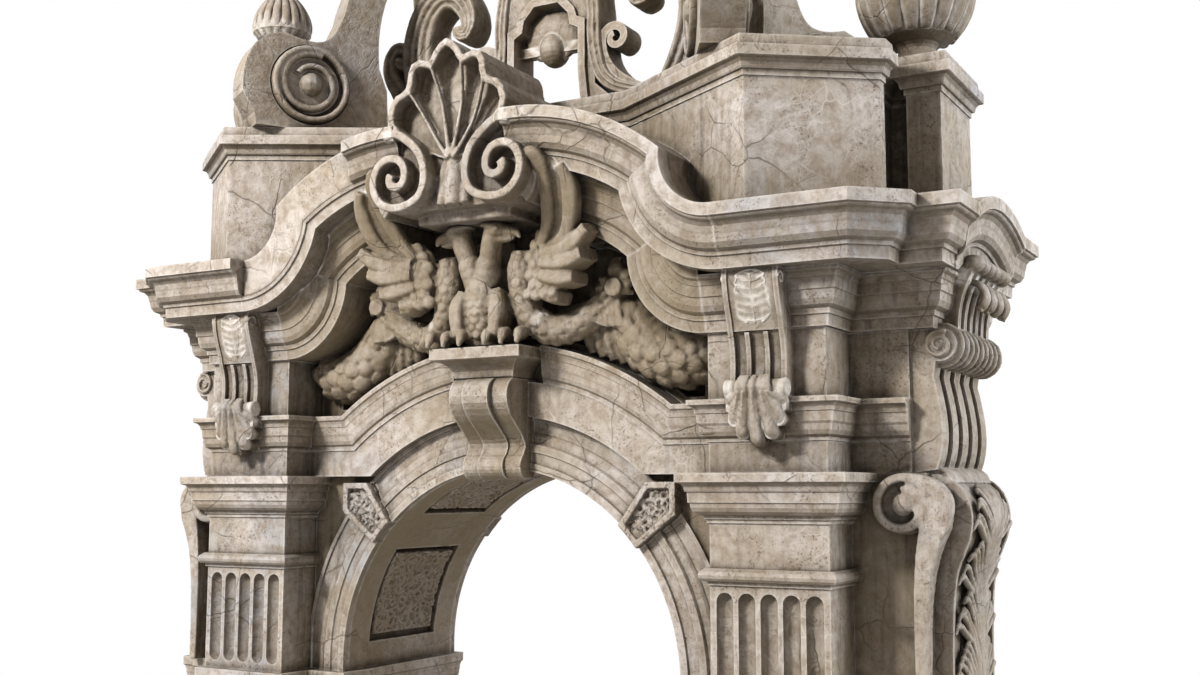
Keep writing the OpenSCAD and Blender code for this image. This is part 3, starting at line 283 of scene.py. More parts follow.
class Carving:
    """Closed shapes that overlap, kept as points and faces until they are fused."""

    def __init__(self):
        self.points, self.faces = np.zeros((0, 3)), []

    def add(self, points, faces):
        start = len(self.points)
        self.points = np.vstack([self.points, points])
        self.faces += [[start + i for i in face] for face in faces]

    def limb(self, path, across, deep, outward=OUT_FRONT, sides=16, square=1.0, count=18):
        """A closed limb along a line, with half widths across and deep given at a few even steps."""
        path = curve(path, count)
        steps = np.linspace(0, 1, count)
        wide = np.interp(steps, np.linspace(0, 1, len(across)), across)
        thick = np.interp(steps, np.linspace(0, 1, len(deep)), deep)
        ahead, side, face = along(path, outward)
        turn = np.linspace(0, 2 * math.pi, sides, endpoint=False)
        c = np.sign(np.cos(turn)) * np.abs(np.cos(turn)) ** square
        s = np.sign(np.sin(turn)) * np.abs(np.sin(turn)) ** square
        rings = (path[:, None] + side[:, None] * (wide[:, None] * c)[..., None]
                 + face[:, None] * (thick[:, None] * s)[..., None]).reshape(-1, 3)
        faces = [(i * sides + j, (i + 1) * sides + j, (i + 1) * sides + (j + 1) % sides,
                  i * sides + (j + 1) % sides)
                 for i in range(count - 1) for j in range(sides)]
        last = (count - 1) * sides
        faces += [(len(rings), j, (j + 1) % sides) for j in range(sides)]
        faces += [(len(rings) + 1, last + (j + 1) % sides, last + j) for j in range(sides)]
        self.add(np.vstack([rings, path[0], path[-1]]), faces)
        return path, wide, thick, ahead, side, face

    def egg(self, centre, radii, axes=None):
        """An egg with its three half sizes, laid along three directions."""
        points = BALL[0] * np.asarray(radii)
        self.add(np.asarray(centre) + (points if axes is None else points @ np.asarray(axes)), BALL[1])

    def scale(self, centre, tip, outward, width, length, thick, lift=0.2):
        """A rounded scale: a flat egg whose free tip stands away from the surface."""
        outward = unit(np.asarray(outward, float))
        tip = unit(np.asarray(tip, float) - outward * np.dot(tip, outward))
        raised = unit(tip + outward * lift)
        up = unit(outward - tip * lift)
        points = BALL[0].copy()
        points[:, 2] = np.sign(points[:, 2]) * np.abs(points[:, 2]) ** 0.6
        points *= (width / 2, length / 2, thick)
        self.add(np.asarray(centre) + points @ np.array([np.cross(raised, up), raised, up]), BALL[1])

    def scaled_limb(self, limb, size, first, last, from_turn, to_turn, thick=0.016, towards=-1, seed=1):
        """Rows of overlapping scales over part of a limb; angles in degrees from its side to its face."""
        path, wide, thick_limb, ahead, side, face = limb
        length = np.concatenate([[0], np.cumsum(np.linalg.norm(np.diff(path, axis=0), axis=1))])
        rows = max(2, int(length[-1] * (last - first) / (size * 0.62)))
        chance = np.random.default_rng(seed)
        for row in range(rows):
            at = length[-1] * (first + (last - first) * (row + 0.5) / rows)
            pick = [np.array([np.interp(at, length, values[:, k]) for k in range(3)])
                    for values in (path, ahead, side, face)]
            w, d = np.interp(at, length, wide), np.interp(at, length, thick_limb)
            arc = math.radians(to_turn - from_turn) * (w + d) / 2
            columns = max(1, round(arc / (size * 0.8)))
            for column in range(columns + row % 2):
                turn = math.radians(from_turn + (to_turn - from_turn)
                                    * (column + (0.5 if row % 2 == 0 else 0.0)) / columns)
                turn += chance.uniform(-0.03, 0.03)
                spot = pick[0] + pick[2] * w * math.cos(turn) + pick[3] * d * math.sin(turn)
                normal = pick[2] * math.cos(turn) / w + pick[3] * math.sin(turn) / d
                grow = size * chance.uniform(0.92, 1.1)
                self.scale(spot, towards * pick[1], normal, grow, grow * 1.15, thick)

    def mirror(self, axis=0):
        """Add the mirror image of everything so far."""
        points = self.points.copy()
        points[:, axis] *= -1
        self.add(points, [face[::-1] for face in self.faces])

    def turn_round(self):
        """Move everything to the mirrored place at the back."""
        self.points = self.points * (1, -1, 1)
        self.faces = [face[::-1] for face in self.faces]

    def move(self, offset):
        self.points = self.points + np.asarray(offset)
        return self

    def mesh(self, name):
        """The shapes as one mesh, still overlapping."""
        mesh = bpy.data.meshes.new(name)
        mesh.from_pydata(self.points.tolist(), [], self.faces)
        return mesh

    def carve(self, name, nodes, stone, grid, worn, patch=0.06, share=0.38):
        """Raise the shapes to the springing line, fuse them at the given grid, soften what is sharper than stone
        weathers to, wear them and keep a share of the triangles. The piece takes the place of the named nodes."""
        raw = stand_in(self.move((0, 0, SPRING_Z)).mesh(name))
        fuse_at(raw, grid)
        raw.modifiers.new("soften", "SMOOTH").factor = 0.5
        mesh = settled(raw, name)
        spots, normals = surface_of(mesh)
        push = np.array([noise.noise(Vector(spot)) + 0.6 * noise.noise(Vector(spot) * 2.7)
                         for spot in spots / patch])
        move_points(mesh, spots + normals * (push * worn)[:, None])
        finish(name, thin(mesh, share), nodes, stone)


def stand_in(mesh):
    """An object that carries a mesh while modifiers work on it."""
    raw = bpy.data.objects.new(mesh.name + "_raw", mesh)
    bpy.context.scene.collection.objects.link(raw)
    return raw


def fuse_at(raw, grid):
    """Fuse what overlaps, on a grid of small cubes."""
    remesh = raw.modifiers.new("fuse", "REMESH")
    remesh.mode, remesh.voxel_size = "VOXEL", grid


def settled(raw, name):
    """The plain mesh that an object's modifiers make; the object and its own mesh are removed."""
    bpy.context.view_layer.update()
    result = bpy.data.meshes.new_from_object(raw.evaluated_get(bpy.context.evaluated_depsgraph_get()))
    first = raw.data
    bpy.data.objects.remove(raw)
    bpy.data.meshes.remove(first)
    result.name = name
    return result


def thin(mesh, share):
    """Keep a share of a mesh's triangles, most of them where it curves most."""
    name = mesh.name
    raw = stand_in(mesh)
    raw.modifiers.new("thin", "DECIMATE").ratio = share
    return settled(raw, name)


def surface_of(mesh):
    """Places and normals of a mesh's points."""
    spots, normals = np.empty(len(mesh.vertices) * 3), np.empty(len(mesh.vertices) * 3)
    mesh.vertices.foreach_get("co", spots)
    mesh.vertex_normals.foreach_get("vector", normals)
    return spots.reshape(-1, 3), normals.reshape(-1, 3)


def move_points(mesh, spots):
    mesh.vertices.foreach_set("co", spots.ravel())
    mesh.update()


def finish(name, mesh, nodes, stone):
    """Put a finished mesh into the scene as a piece that rides on the gateway."""
    piece = bpy.data.objects.new(name, mesh)
    bpy.context.scene.collection.objects.link(piece)
    mesh.materials.clear()
    mesh.materials.append(stones()[stone])
    for polygon in mesh.polygons:
        polygon.use_smooth = True
    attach(piece, BODY)
    if nodes:
        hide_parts(*nodes)


# Settings


def colour_setting(name, description, code):
    return FloatVectorProperty(name=name, description=description, default=linear(code), subtype="COLOR", min=0,
                               max=1)


def length_setting(name, description, default):
    return FloatProperty(name=name, description=description, default=default, unit="LENGTH")


def grid_setting(default, name="Carving grid"):
    return length_setting(name, "Finest step of the carved surface", default)


class GATEWAY_PG_stone(bpy.types.PropertyGroup):
    """Colours of the stone, and the dark brown that also paints shade."""
    pale: colour_setting("Pale stone", "Washed limestone on the outer faces", "#d3cac2")
    warm: colour_setting("Warm stone", "Warmer beds of the limestone", "#b9ac9a")
    cool: colour_setting("Blue-grey stone", "Cool beds of the limestone", "#a9acb1")
    chalk: colour_setting("Rubbed stone", "Fresh stone on rubbed edges and flakes", "#e6dfd5")
    stain: colour_setting("Stain", "Brown stain of the mottling and the splash zone", "#94816a")
    ochre: colour_setting("Patina", "Ochre patina in sheltered places", "#8b7b60")
    # Dark brown of specks, veins, rain streaks and crevice dirt, also used as painted shade under ledges, in deep
    # hollows and in crevices
    soot_and_shade: colour_setting("Soot", "Grime in the crevices", "#2a2117")


class GATEWAY_PG_stage(bpy.types.PropertyGroup):
    """The floor and the camera."""
    floor: colour_setting("Floor", "Plain pale floor", "#e6e4e0")
    floor_half: length_setting("Floor half width", "Half the width of the floor", 14)
    lens: FloatProperty(name="Lens", description="Focal length of the camera in millimetres", default=40.08)


# Operators


class GATEWAY_OT_stone(bpy.types.Operator):
    """Finish every block of masonry as weathered limestone"""
    bl_idname = "gateway.stone"
    bl_label = "Limestone finishes"

    def execute(self, context):
        finishes = stones()
        for node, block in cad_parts.items():
            key = ("vermiculated" if node in ROUGH else "sheltered" if node in SHELTERED
                   else "carved" if node in CARVED else "rubbed")
            for index in range(max(1, len(block.material_slots))):
                if block.material_slots:
                    block.material_slots[index].material = finishes[key]
                else:
                    block.data.materials.append(finishes[key])
        return {"FINISHED"}


class GATEWAY_OT_stage(bpy.types.Operator):
    """Lay the floor and set up the studio lights and the camera"""
    bl_idname = "gateway.stage"
    bl_label = "Stage"

    def execute(self, context):
        settings = context.scene.gateway_stage
        half = settings.floor_half
        ground = bpy.data.meshes.new("floor")
        ground.from_pydata([(-half, -half, 0), (half, -half, 0), (half, half, 0), (-half, half, 0)], [],
                           [(0, 1, 2, 3)])
        floor = bpy.data.objects.new("floor", ground)
        context.scene.collection.objects.link(floor)
        # Matt painted floor: white to the camera away from the object, and dark enough below it to keep a shadow
        paint = bpy.data.materials.new("matt_floor_paint")
        paint.use_nodes = True
        shader = paint.node_tree.nodes["Principled BSDF"]
        shader.inputs["Base Color"].default_value = (*settings.floor, 1)
        shader.inputs["Roughness"].default_value = 0.9
        ground.materials.append(paint)

        world = bpy.data.worlds.new("studio")
        context.scene.world = world
        world.use_nodes = True
        tree = world.node_tree
        tree.nodes.clear()
        ray = add_node(tree, "ShaderNodeLightPath")
        seen = maths(tree, "MAXIMUM", maths(tree, "MAXIMUM", (ray, "Is Camera Ray"), (ray, "Is Glossy Ray")),
                     (ray, "Is Transmission Ray"))
        room = add_node(tree, "ShaderNodeBackground", {0: (0.90, 0.92, 1.0, 1), 1: 0.13})
        white = add_node(tree, "ShaderNodeBackground", {0: (1, 1, 1, 1), 1: 1.0})
        both = add_node(tree, "ShaderNodeMixShader", {0: seen, 1: (room, 0), 2: (white, 0)})
        add_node(tree, "ShaderNodeOutputWorld", {0: (both, 0)})

        for name, spot, size, power, tint in (("key", (-5.5, -13, 13), 2.6, 3150, (1.0, 0.985, 0.98)),
                                              ("fill", (9, -11, 3), 9.0, 150, (0.95, 0.93, 1.0)),
                                              ("side", (13, 1.5, 8), 5.0, 1100, (0.90, 0.94, 1.0)),
                                              ("back", (-4, 14, 11), 8.0, 700, (0.95, 0.98, 1.0))):
            light = bpy.data.lights.new(name, "AREA")
            light.size = size
            light.energy = power
            light.color = tint
            lamp = bpy.data.objects.new(name, light)
            lamp.location = spot
            lamp.rotation_euler = (Vector((0, 0, 4.5)) - Vector(spot)).to_track_quat("-Z", "Y").to_euler()
            context.scene.collection.objects.link(lamp)

        view = bpy.data.cameras.new("camera")
        view.lens = settings.lens
        view.sensor_width = 36
        camera = bpy.data.objects.new("camera", view)
        camera.location = (5.484, -8.906, 4.186)
        camera.rotation_euler = (math.radians(96.556), 0, math.radians(29.636))
        context.scene.collection.objects.link(camera)
        context.scene.camera = camera
        context.scene.view_settings.view_transform = "Standard"
        return {"FINISHED"}


class GATEWAY_PG_eagle(bpy.types.PropertyGroup):
    """Sizes of the eagle."""
    scale_size: length_setting("Feather scale", "Width of a scale of the plumage", 0.085)
    grid: grid_setting(0.009)
    seed: IntProperty(name="Seed", description="Seed of the uneven scales", default=7)


class GATEWAY_PG_garlands(bpy.types.PropertyGroup):
    """Sizes of the garlands."""
    leaf: length_setting("Leaf", "Width of a leaf of the swag", 0.125)
    grid: grid_setting(0.0095)
    seed: IntProperty(name="Seed", description="Seed of the uneven leaves", default=11)


class GATEWAY_PG_leaves(bpy.types.PropertyGroup):
    """Sizes of the leaves on the consoles."""
    rim: length_setting("Rim", "Half width of a raised leaf rim", 0.0075)
    pairs: IntProperty(name="Pairs", description="Pairs of leaflets on a console", default=6, min=3, max=6)
    fine_grid: grid_setting(0.0045, "Grid of the leaf panels")
    grid: grid_setting(0.0058, "Grid of the hanging leaves")


class GATEWAY_PG_scrolls(bpy.types.PropertyGroup):
    """Sizes of the great scrolls and of the shell."""
    band: length_setting("Band", "Width of the band that curls", 0.062)
    depth: length_setting("Curl depth", "Depth of the hollow between two turns", 0.125)
    rim: length_setting("Rim", "Width of the scalloped rim of the shell", 0.054)
    sink: length_setting("Shell depth", "Depth of the hollow of the shell at its rim", 0.15)
    grid: grid_setting(0.0088)


class GATEWAY_PG_panels(bpy.types.PropertyGroup):
    """Sizes of the vermiculated panels."""
    worm: length_setting("Worm", "Width of a worm hole and its ridge", 0.03)
    depth: length_setting("Depth", "Depth of the holes", 0.016)
    grid: grid_setting(0.0075)


class GATEWAY_PG_attic(bpy.types.PropertyGroup):
    """Sizes of the ornament of the crest, the attic wings and the urns."""
    ribs: IntProperty(name="Ribs", description="Ribs of the great band of the crest", default=4, min=2, max=6)
    swell: length_setting("Swell", "Height of the swirls on the attic wings", 0.042)
    gadroons: IntProperty(name="Gadroons", description="Gadroons around an urn", default=18, min=8, max=30)
    grid: grid_setting(0.0095)


class GATEWAY_PG_flank(bpy.types.PropertyGroup):
    """Sizes of the carving on the flanks."""
    tiers: IntProperty(name="Tiers", description="Tiers of leaves down a flank", default=4, min=2, max=6)
    veins: IntProperty(name="Veins", description="Veins on each half of a leaf", default=8, min=4, max=12)
    bands: IntProperty(name="Bands", description="Bands around each roll", default=9, min=5, max=12)
    grid: grid_setting(0.0085)
    seed: IntProperty(name="Seed", description="Seed of the uneven leaves", default=5)


class GATEWAY_PG_volutes(bpy.types.PropertyGroup):
    """Sizes of the side volutes."""
    depth: length_setting("Curl depth", "Depth of the hollow of the curl", 0.062)
    knob: length_setting("Knob", "Radius of the knob in the curl", 0.072)
    grid: grid_setting(0.0085)


class GATEWAY_OT_eagle(bpy.types.Operator):
    """Carve the double-headed eagle that stands on the abacus"""
    bl_idname = "gateway.eagle"
    bl_label = "Eagle"

    # Wing feathers: line of the middle, half width and half depth, from the lowest to the highest
    FEATHERS = (
        (((0.50, -0.97, 2.70), (0.60, -0.98, 2.655), (0.70, -0.99, 2.625)), 0.056, 0.10),
        (((0.56, -1.00, 2.785), (0.70, -1.02, 2.755), (0.85, -1.04, 2.75)), 0.058, 0.12),
        (((0.58, -1.02, 2.87), (0.77, -1.05, 2.86), (0.94, -1.08, 2.905)), 0.058, 0.12),
        (((0.58, -1.04, 2.95), (0.72, -1.07, 2.94), (0.87, -1.11, 2.985), (0.99, -1.14, 3.075)), 0.055, 0.09),
        (((0.64, -1.06, 2.97), (0.79, -1.11, 3.05), (0.875, -1.19, 3.20), (0.900, -1.27, 3.38),
          (0.855, -1.33, 3.49)), 0.060, 0.055),
        (((0.60, -1.04, 3.00), (0.73, -1.08, 3.12), (0.800, -1.17, 3.28), (0.805, -1.27, 3.46),
          (0.760, -1.33, 3.55)), 0.046, 0.050),
        (((0.56, -1.06, 3.00), (0.655, -1.13, 3.15), (0.710, -1.24, 3.33), (0.725, -1.34, 3.49),
          (0.685, -1.40, 3.575), (0.625, -1.40, 3.565)), 0.056, 0.055),
    )
    TOES = (0.11, 0.25, 0.385)

    def execute(self, context):
        settings = context.scene.gateway_eagle
        bird = Carving()
        size = settings.scale_size
        # Right half: arm column, wing, feathers, thigh, toes, neck, head and beak
        arm = bird.limb([(0.42, -0.89, 2.44), (0.355, -0.905, 2.56), (0.325, -0.925, 2.72), (0.315, -0.935, 2.88),
                         (0.325, -0.945, 3.0)], (0.095, 0.09, 0.095, 0.095, 0.06), (0.10, 0.10, 0.10, 0.10, 0.06))
        bird.scaled_limb(arm, size * 1.12, 0.02, 0.97, -10, 190, 0.02, seed=3)
        bird.limb([(0.47, -0.97, 2.66), (0.53, -0.98, 2.82), (0.57, -1.0, 3.0), (0.59, -1.02, 3.1)],
                  (0.08, 0.15, 0.14, 0.07), (0.05, 0.08, 0.07, 0.04))
        chance = np.random.default_rng(settings.seed)
        for row in range(7):
            z = 2.66 + 0.068 * row
            count = 4 if row in (0, 6) else 5
            for column in range(count):
                x = 0.43 + 0.074 * column + (0.036 if row % 2 else 0) + 0.006 * row
                if x > 0.73 or (row == 6 and x < 0.47):
                    continue
                spot = (x + chance.uniform(-0.006, 0.006), -1.045 - 0.10 * (x - 0.4),
                        z + chance.uniform(-0.006, 0.006))
                bird.scale(spot, (0.55, -0.1, 0.35 if row > 2 else -0.3), (-0.1, -1, 0.05), size * 1.18,
                           size * 1.25, 0.03, 0.3)
        for line, half, thick in self.FEATHERS:
            tall = line[-1][2] > 3.3
            bird.limb(line, (half * 0.8, half, half * 1.08, half * (0.6 if tall else 0.8)),
                      (thick * 0.9, thick, thick, thick * 0.85), sides=24, square=0.65 if tall else 0.45, count=26)
        bird.limb([(0.145, -0.95, 2.69), (0.172, -0.985, 2.60), (0.165, -1.01, 2.48), (0.15, -1.03, 2.38)],
                  (0.06, 0.07, 0.062, 0.05), (0.11, 0.125, 0.105, 0.075), square=0.6)
        for at in self.TOES:
            root = 0.12 + (at - 0.12) * 0.75
            bird.limb([(root, -0.97, 2.38), (at * 0.98, -1.045, 2.405), (at, -1.095, 2.39), (at, -1.13, 2.318)],
                      (0.04, 0.038, 0.038, 0.014), (0.045, 0.042, 0.04, 0.014))
            bird.egg((at, -1.06, 2.412), (0.043, 0.034, 0.036))
            bird.egg((at, -1.108, 2.375), (0.038, 0.028, 0.032))
        neck = bird.limb([(0.045, -0.98, 2.80), (0.085, -1.02, 2.93), (0.125, -1.055, 3.06), (0.15, -1.06, 3.16)],
                         (0.095, 0.08, 0.078, 0.075), (0.10, 0.085, 0.085, 0.085))
        bird.scaled_limb(neck, size * 0.92, 0.0, 0.42, 10, 170, 0.013, -1, 5)
        bird.egg((0.165, -1.06, 3.135), (0.098, 0.098, 0.062))
        bird.limb([(0.145, -1.055, 3.155), (0.15, -1.055, 3.178), (0.152, -1.055, 3.20)], (0.106, 0.112, 0.09),
                  (0.106, 0.112, 0.09), sides=24, count=8)
        bird.limb([(0.20, -1.06, 3.14), (0.27, -1.06, 3.135), (0.335, -1.06, 3.115), (0.366, -1.06, 3.075)],
                  (0.055, 0.045, 0.032, 0.008), (0.062, 0.044, 0.03, 0.01))
        bird.limb([(0.19, -1.06, 3.08), (0.26, -1.06, 3.075), (0.315, -1.06, 3.072)], (0.032, 0.026, 0.008),
                  (0.05, 0.034, 0.012))
        bird.egg((0.205, -1.135, 3.145), (0.026, 0.018, 0.02))
        bird.egg((0.205, -0.985, 3.145), (0.026, 0.018, 0.02))
        bird.mirror()
        # Body and breast
        body = bird.limb([(0, -0.94, 2.33), (0, -0.95, 2.45), (0, -0.96, 2.62), (0, -0.965, 2.76),
                          (0, -0.975, 2.87)],
                         (0.12, 0.13, 0.13, 0.125, 0.10), (0.09, 0.11, 0.125, 0.12, 0.09))
        bird.scaled_limb(body, size, 0.12, 1.0, 35, 145, 0.02, -1, settings.seed)
        bird.limb([(0, -0.80, 2.33), (0, -0.80, 2.7), (0, -0.82, 3.1)], (0.20, 0.24, 0.16), (0.12, 0.12, 0.10))
        bird.carve("eagle_carved", ["eagle"], "sheltered", settings.grid, 0.003, share=0.52)
        return {"FINISHED"}


class GATEWAY_OT_garlands(bpy.types.Operator):
    """Carve the garlands, rosettes and ribbons across the tympanum"""
    bl_idname = "gateway.garlands"
    bl_label = "Garlands"

    def execute(self, context):
        settings = context.scene.gateway_garlands
        swag = Carving()
        rope = swag.limb([(0.40, -0.88, 2.50), (0.48, -0.86, 2.435), (0.62, -0.83, 2.43), (0.78, -0.81, 2.49),
                          (0.92, -0.81, 2.58), (1.03, -0.81, 2.67)], (0.085, 0.085, 0.08, 0.08, 0.075, 0.06),
                         (0.10, 0.09, 0.085, 0.08, 0.075, 0.06))
        swag.scaled_limb(rope, settings.leaf * 0.85, 0.0, 0.92, -30, 210, 0.03, 1, settings.seed)
        bunch = swag.limb([(1.02, -0.72, 2.62), (1.10, -0.70, 2.44), (1.24, -0.68, 2.27), (1.42, -0.67, 2.18),
                           (1.60, -0.66, 2.19), (1.74, -0.65, 2.30)], (0.09, 0.14, 0.165, 0.16, 0.14, 0.09),
                          (0.09, 0.13, 0.16, 0.16, 0.14, 0.10))
        swag.scaled_limb(bunch, settings.leaf * 1.2, 0.05, 0.95, -20, 200, 0.05, 1, settings.seed + 1)
        # Drapery behind, in soft upright folds
        for fold in range(6):
            x = 0.72 + 0.085 * fold
            swag.limb([(x, -0.66, 2.56 - 0.01 * fold), (x + 0.02, -0.69, 2.42 - 0.02 * fold),
                       (x + 0.05, -0.66, 2.27 - 0.03 * fold)], (0.05, 0.06, 0.05), (0.08, 0.10, 0.08))
        # Back of the swag, set into the wall
        swag.limb([(0.50, -0.62, 2.50), (0.80, -0.60, 2.56), (1.08, -0.58, 2.58), (1.3, -0.58, 2.35),
                   (1.66, -0.58, 2.30)],
                  (0.12, 0.12, 0.13, 0.15, 0.12), (0.17, 0.17, 0.14, 0.14, 0.12))
        centre = np.array((1.04, -0.86, 2.69))
        swag.limb([centre + (0, 0.16, 0), centre + (0, 0.02, 0), centre - (0, 0.065, 0)], (0.085, 0.07, 0.064),
                  (0.085, 0.07, 0.064), outward=(0, 0, 1), sides=24, square=0.95)
        for turn, reach, wide in ((95, 0.215, 0.062), (150, 0.175, 0.034), (178, 0.18, 0.034), (52, 0.17, 0.045),
                                  (14, 0.13, 0.034), (205, 0.15, 0.034), (-20, 0.12, 0.034)):
            way = np.array((math.cos(math.radians(turn)), 0, math.sin(math.radians(turn))))
            swag.limb([centre + way * 0.03 + (0, 0.05, 0), centre + way * reach * 0.6 + (0, 0.0, 0),
                       centre + way * reach + (0, 0.035, 0)], (0.02, wide, wide * 0.55), (0.03, 0.026, 0.014))
        for spread_x, drop in ((-0.20, -0.21), (-0.145, -0.245), (-0.09, -0.265), (-0.02, -0.27), (0.035, -0.27)):
            swag.limb([centre + (spread_x * 0.25, 0.03, -0.05), centre + (spread_x * 0.6, -0.005, drop * 0.55),
                       centre + (spread_x, -0.005, drop)], (0.018, 0.026, 0.034), (0.03, 0.03, 0.022), square=0.8)
        swag.mirror()
        swag.carve("garlands_carved", ["garlands"], "sheltered", settings.grid, 0.005, 0.05, 0.48)
        return {"FINISHED"}


def four_ways(carving):
    """Repeat what was carved on the front right on all four quarters."""
    carving.mirror(0)
    carving.mirror(1)


class GATEWAY_OT_console_leaves(bpy.types.Operator):
    """Carve the leaf panels and the hanging acanthus of the four consoles"""
    bl_idname = "gateway.console_leaves"
    bl_label = "Console leaves"

    CENTRE = 2.2125
    WALL = 1.025
    # Middle of each hanging lobe: sideways offset and drop below the springing frame's level
    LOBES = ((0.168, 1.80), (0.150, 1.695), (0.097, 1.615), (0.0, 1.572))

    def front(self, z):
        """How far the sunk panel stands out from the pier at a height."""
        return float(np.interp(z, (2.31, 2.355, 2.40, 2.46, 2.52, 2.58, 2.62, 2.68),
                               (0.153, 0.160, 0.172, 0.192, 0.212, 0.228, 0.236, 0.236)))

    def on_panel(self, points, lift):
        return [(self.CENTRE + u, -self.WALL - self.front(z) - lift, z) for u, z in points]

    def execute(self, context):
        settings = context.scene.gateway_leaves
        rim = settings.rim
        panel = Carving()
        panel.limb(self.on_panel(((0, 2.335), (0, 2.45), (0, 2.56), (0, 2.648)), 0.0), (rim * 1.1,), (rim * 1.5,),
                   sides=10)
        edge = [(0.05, 2.337)]
        for k in range(settings.pairs + 1):
            z = 2.350 + 0.048 * k
            wide = (0.102, 0.108, 0.106, 0.102, 0.096, 0.088, 0.05)[min(k, 6)]
            top = min(z + 0.036, 2.655)
            panel.limb(self.on_panel(((0, z), (wide * 0.5, z + 0.008), (wide, top)), 0.0), (rim,), (rim * 1.4,),
                       sides=10,
                       count=10)
            edge += ([(wide, top - 0.012), (wide + 0.008, top + 0.008)] if k < settings.pairs
                     else [(0.04, 2.662), (0, 2.664)])
        panel.limb(self.on_panel(edge, 0.0), (rim * 0.95,), (rim * 1.5,), sides=10, count=48)
        for u, z in [(0.05, 2.372 + 0.048 * k) for k in range(settings.pairs)]:
            panel.limb(self.on_panel(((u - 0.035, z - 0.006), (u, z + 0.002), (u + 0.03, z + 0.016)), -0.004),
                       (0.005, 0.013, 0.004),
                       (0.006,), sides=8, count=8)
        mirrored = panel.points.copy()
        mirrored[:, 0] = 2 * self.CENTRE - mirrored[:, 0]
        panel.add(mirrored, [face[::-1] for face in panel.faces])
        # Small volutes on the cheeks of each console
        for side in (-1, 1):
            turns = np.linspace(0, 2.6 * math.pi, 30)
            radius = np.linspace(0.046, 0.008, 30)
            spiral = [(self.CENTRE + side * 0.190, -self.WALL - 0.198 - r * math.cos(a), 2.605 + r * math.sin(a))
                      for a, r in zip(turns, radius)]
            panel.limb(spiral, (0.009, 0.005), (0.009, 0.006), outward=(side, 0, 0), sides=8, count=60)
        four_ways(panel)
        panel.carve("console_leaf_panels", [], "carved", settings.fine_grid, 0.0012, 0.03)

        leaf = Carving()
        for u, tip in self.LOBES:
            for side in ((-1, 1) if u else (1,)):
                x = self.CENTRE + side * u
                near = self.CENTRE + side * u * 0.5
                low = tip + 0.044
                leaf.limb([(near, -self.WALL - 0.175, 2.0), (near + side * u * 0.05, -self.WALL - 0.215, 1.945),
                           (near + side * u * 0.12, -self.WALL - 0.20, 1.885),
                           (x * 0.6 + near * 0.4, -self.WALL - 0.172, (low + 1.90) / 2),
                           (x, -self.WALL - 0.150, low), (x + side * u * 0.04, -self.WALL - 0.135, tip - 0.002)],
                          (0.018, 0.026, 0.028, 0.044, 0.046, 0.018), (0.016, 0.026, 0.03, 0.04, 0.040, 0.02),
                          square=0.85, count=24)
                leaf.limb([(near + side * u * 0.12, -self.WALL - 0.235, 1.90),
                           (x * 0.6 + near * 0.4, -self.WALL - 0.208, (low + 1.90) / 2),
                           (x, -self.WALL - 0.186, low + 0.01)],
                          (0.006, 0.010, 0.006), (0.008, 0.010, 0.006), sides=8)
        for side in (-1, 1):
            ring = [(self.CENTRE + side * 0.199, -self.WALL - 0.15 - 0.044 * math.cos(a),
                     1.925 + 0.044 * math.sin(a))
                    for a in np.linspace(0, 2 * math.pi, 25)]
            leaf.limb(ring, (0.013,), (0.013,), outward=(side, 0, 0), sides=8, count=48)
            leaf.egg((self.CENTRE + side * 0.199, -self.WALL - 0.15, 1.925), (0.012, 0.014, 0.014))
            leaf.limb([(self.CENTRE + side * 0.155, -self.WALL - 0.15, 1.925),
                       (self.CENTRE + side * 0.203, -self.WALL - 0.15, 1.925)],
                      (0.052, 0.062), (0.052, 0.062), outward=(0, 0, 1), sides=24, count=4)
        four_ways(leaf)
        leaf.carve("console_hanging_leaves", [], "carved", settings.grid, 0.0015, 0.04)
        return {"FINISHED"}


def prism(outline, front, back):
    """A closed block standing on a plane of constant depth, from points of x and z."""
    count = len(outline)
    points = [(x, front, z) for x, z in outline] + [(x, back, z) for x, z in outline]
    faces = [tuple(range(count)), tuple(range(2 * count - 1, count - 1, -1))]
    faces += [((i + 1) % count, i, i + count, (i + 1) % count + count) for i in range(count)]
    return points, faces


def flat(line, y):
    """Points of x and z laid on a plane of constant depth."""
    return [(x, y, z) for x, z in line]


def offset(line, by):
    """A line of x and z moved sideways, to the right of the way it runs."""
    line = np.asarray(line, float)
    ahead = unit(np.gradient(line, axis=0))
    return line + np.stack([ahead[:, 1], -ahead[:, 0]], axis=1) * by


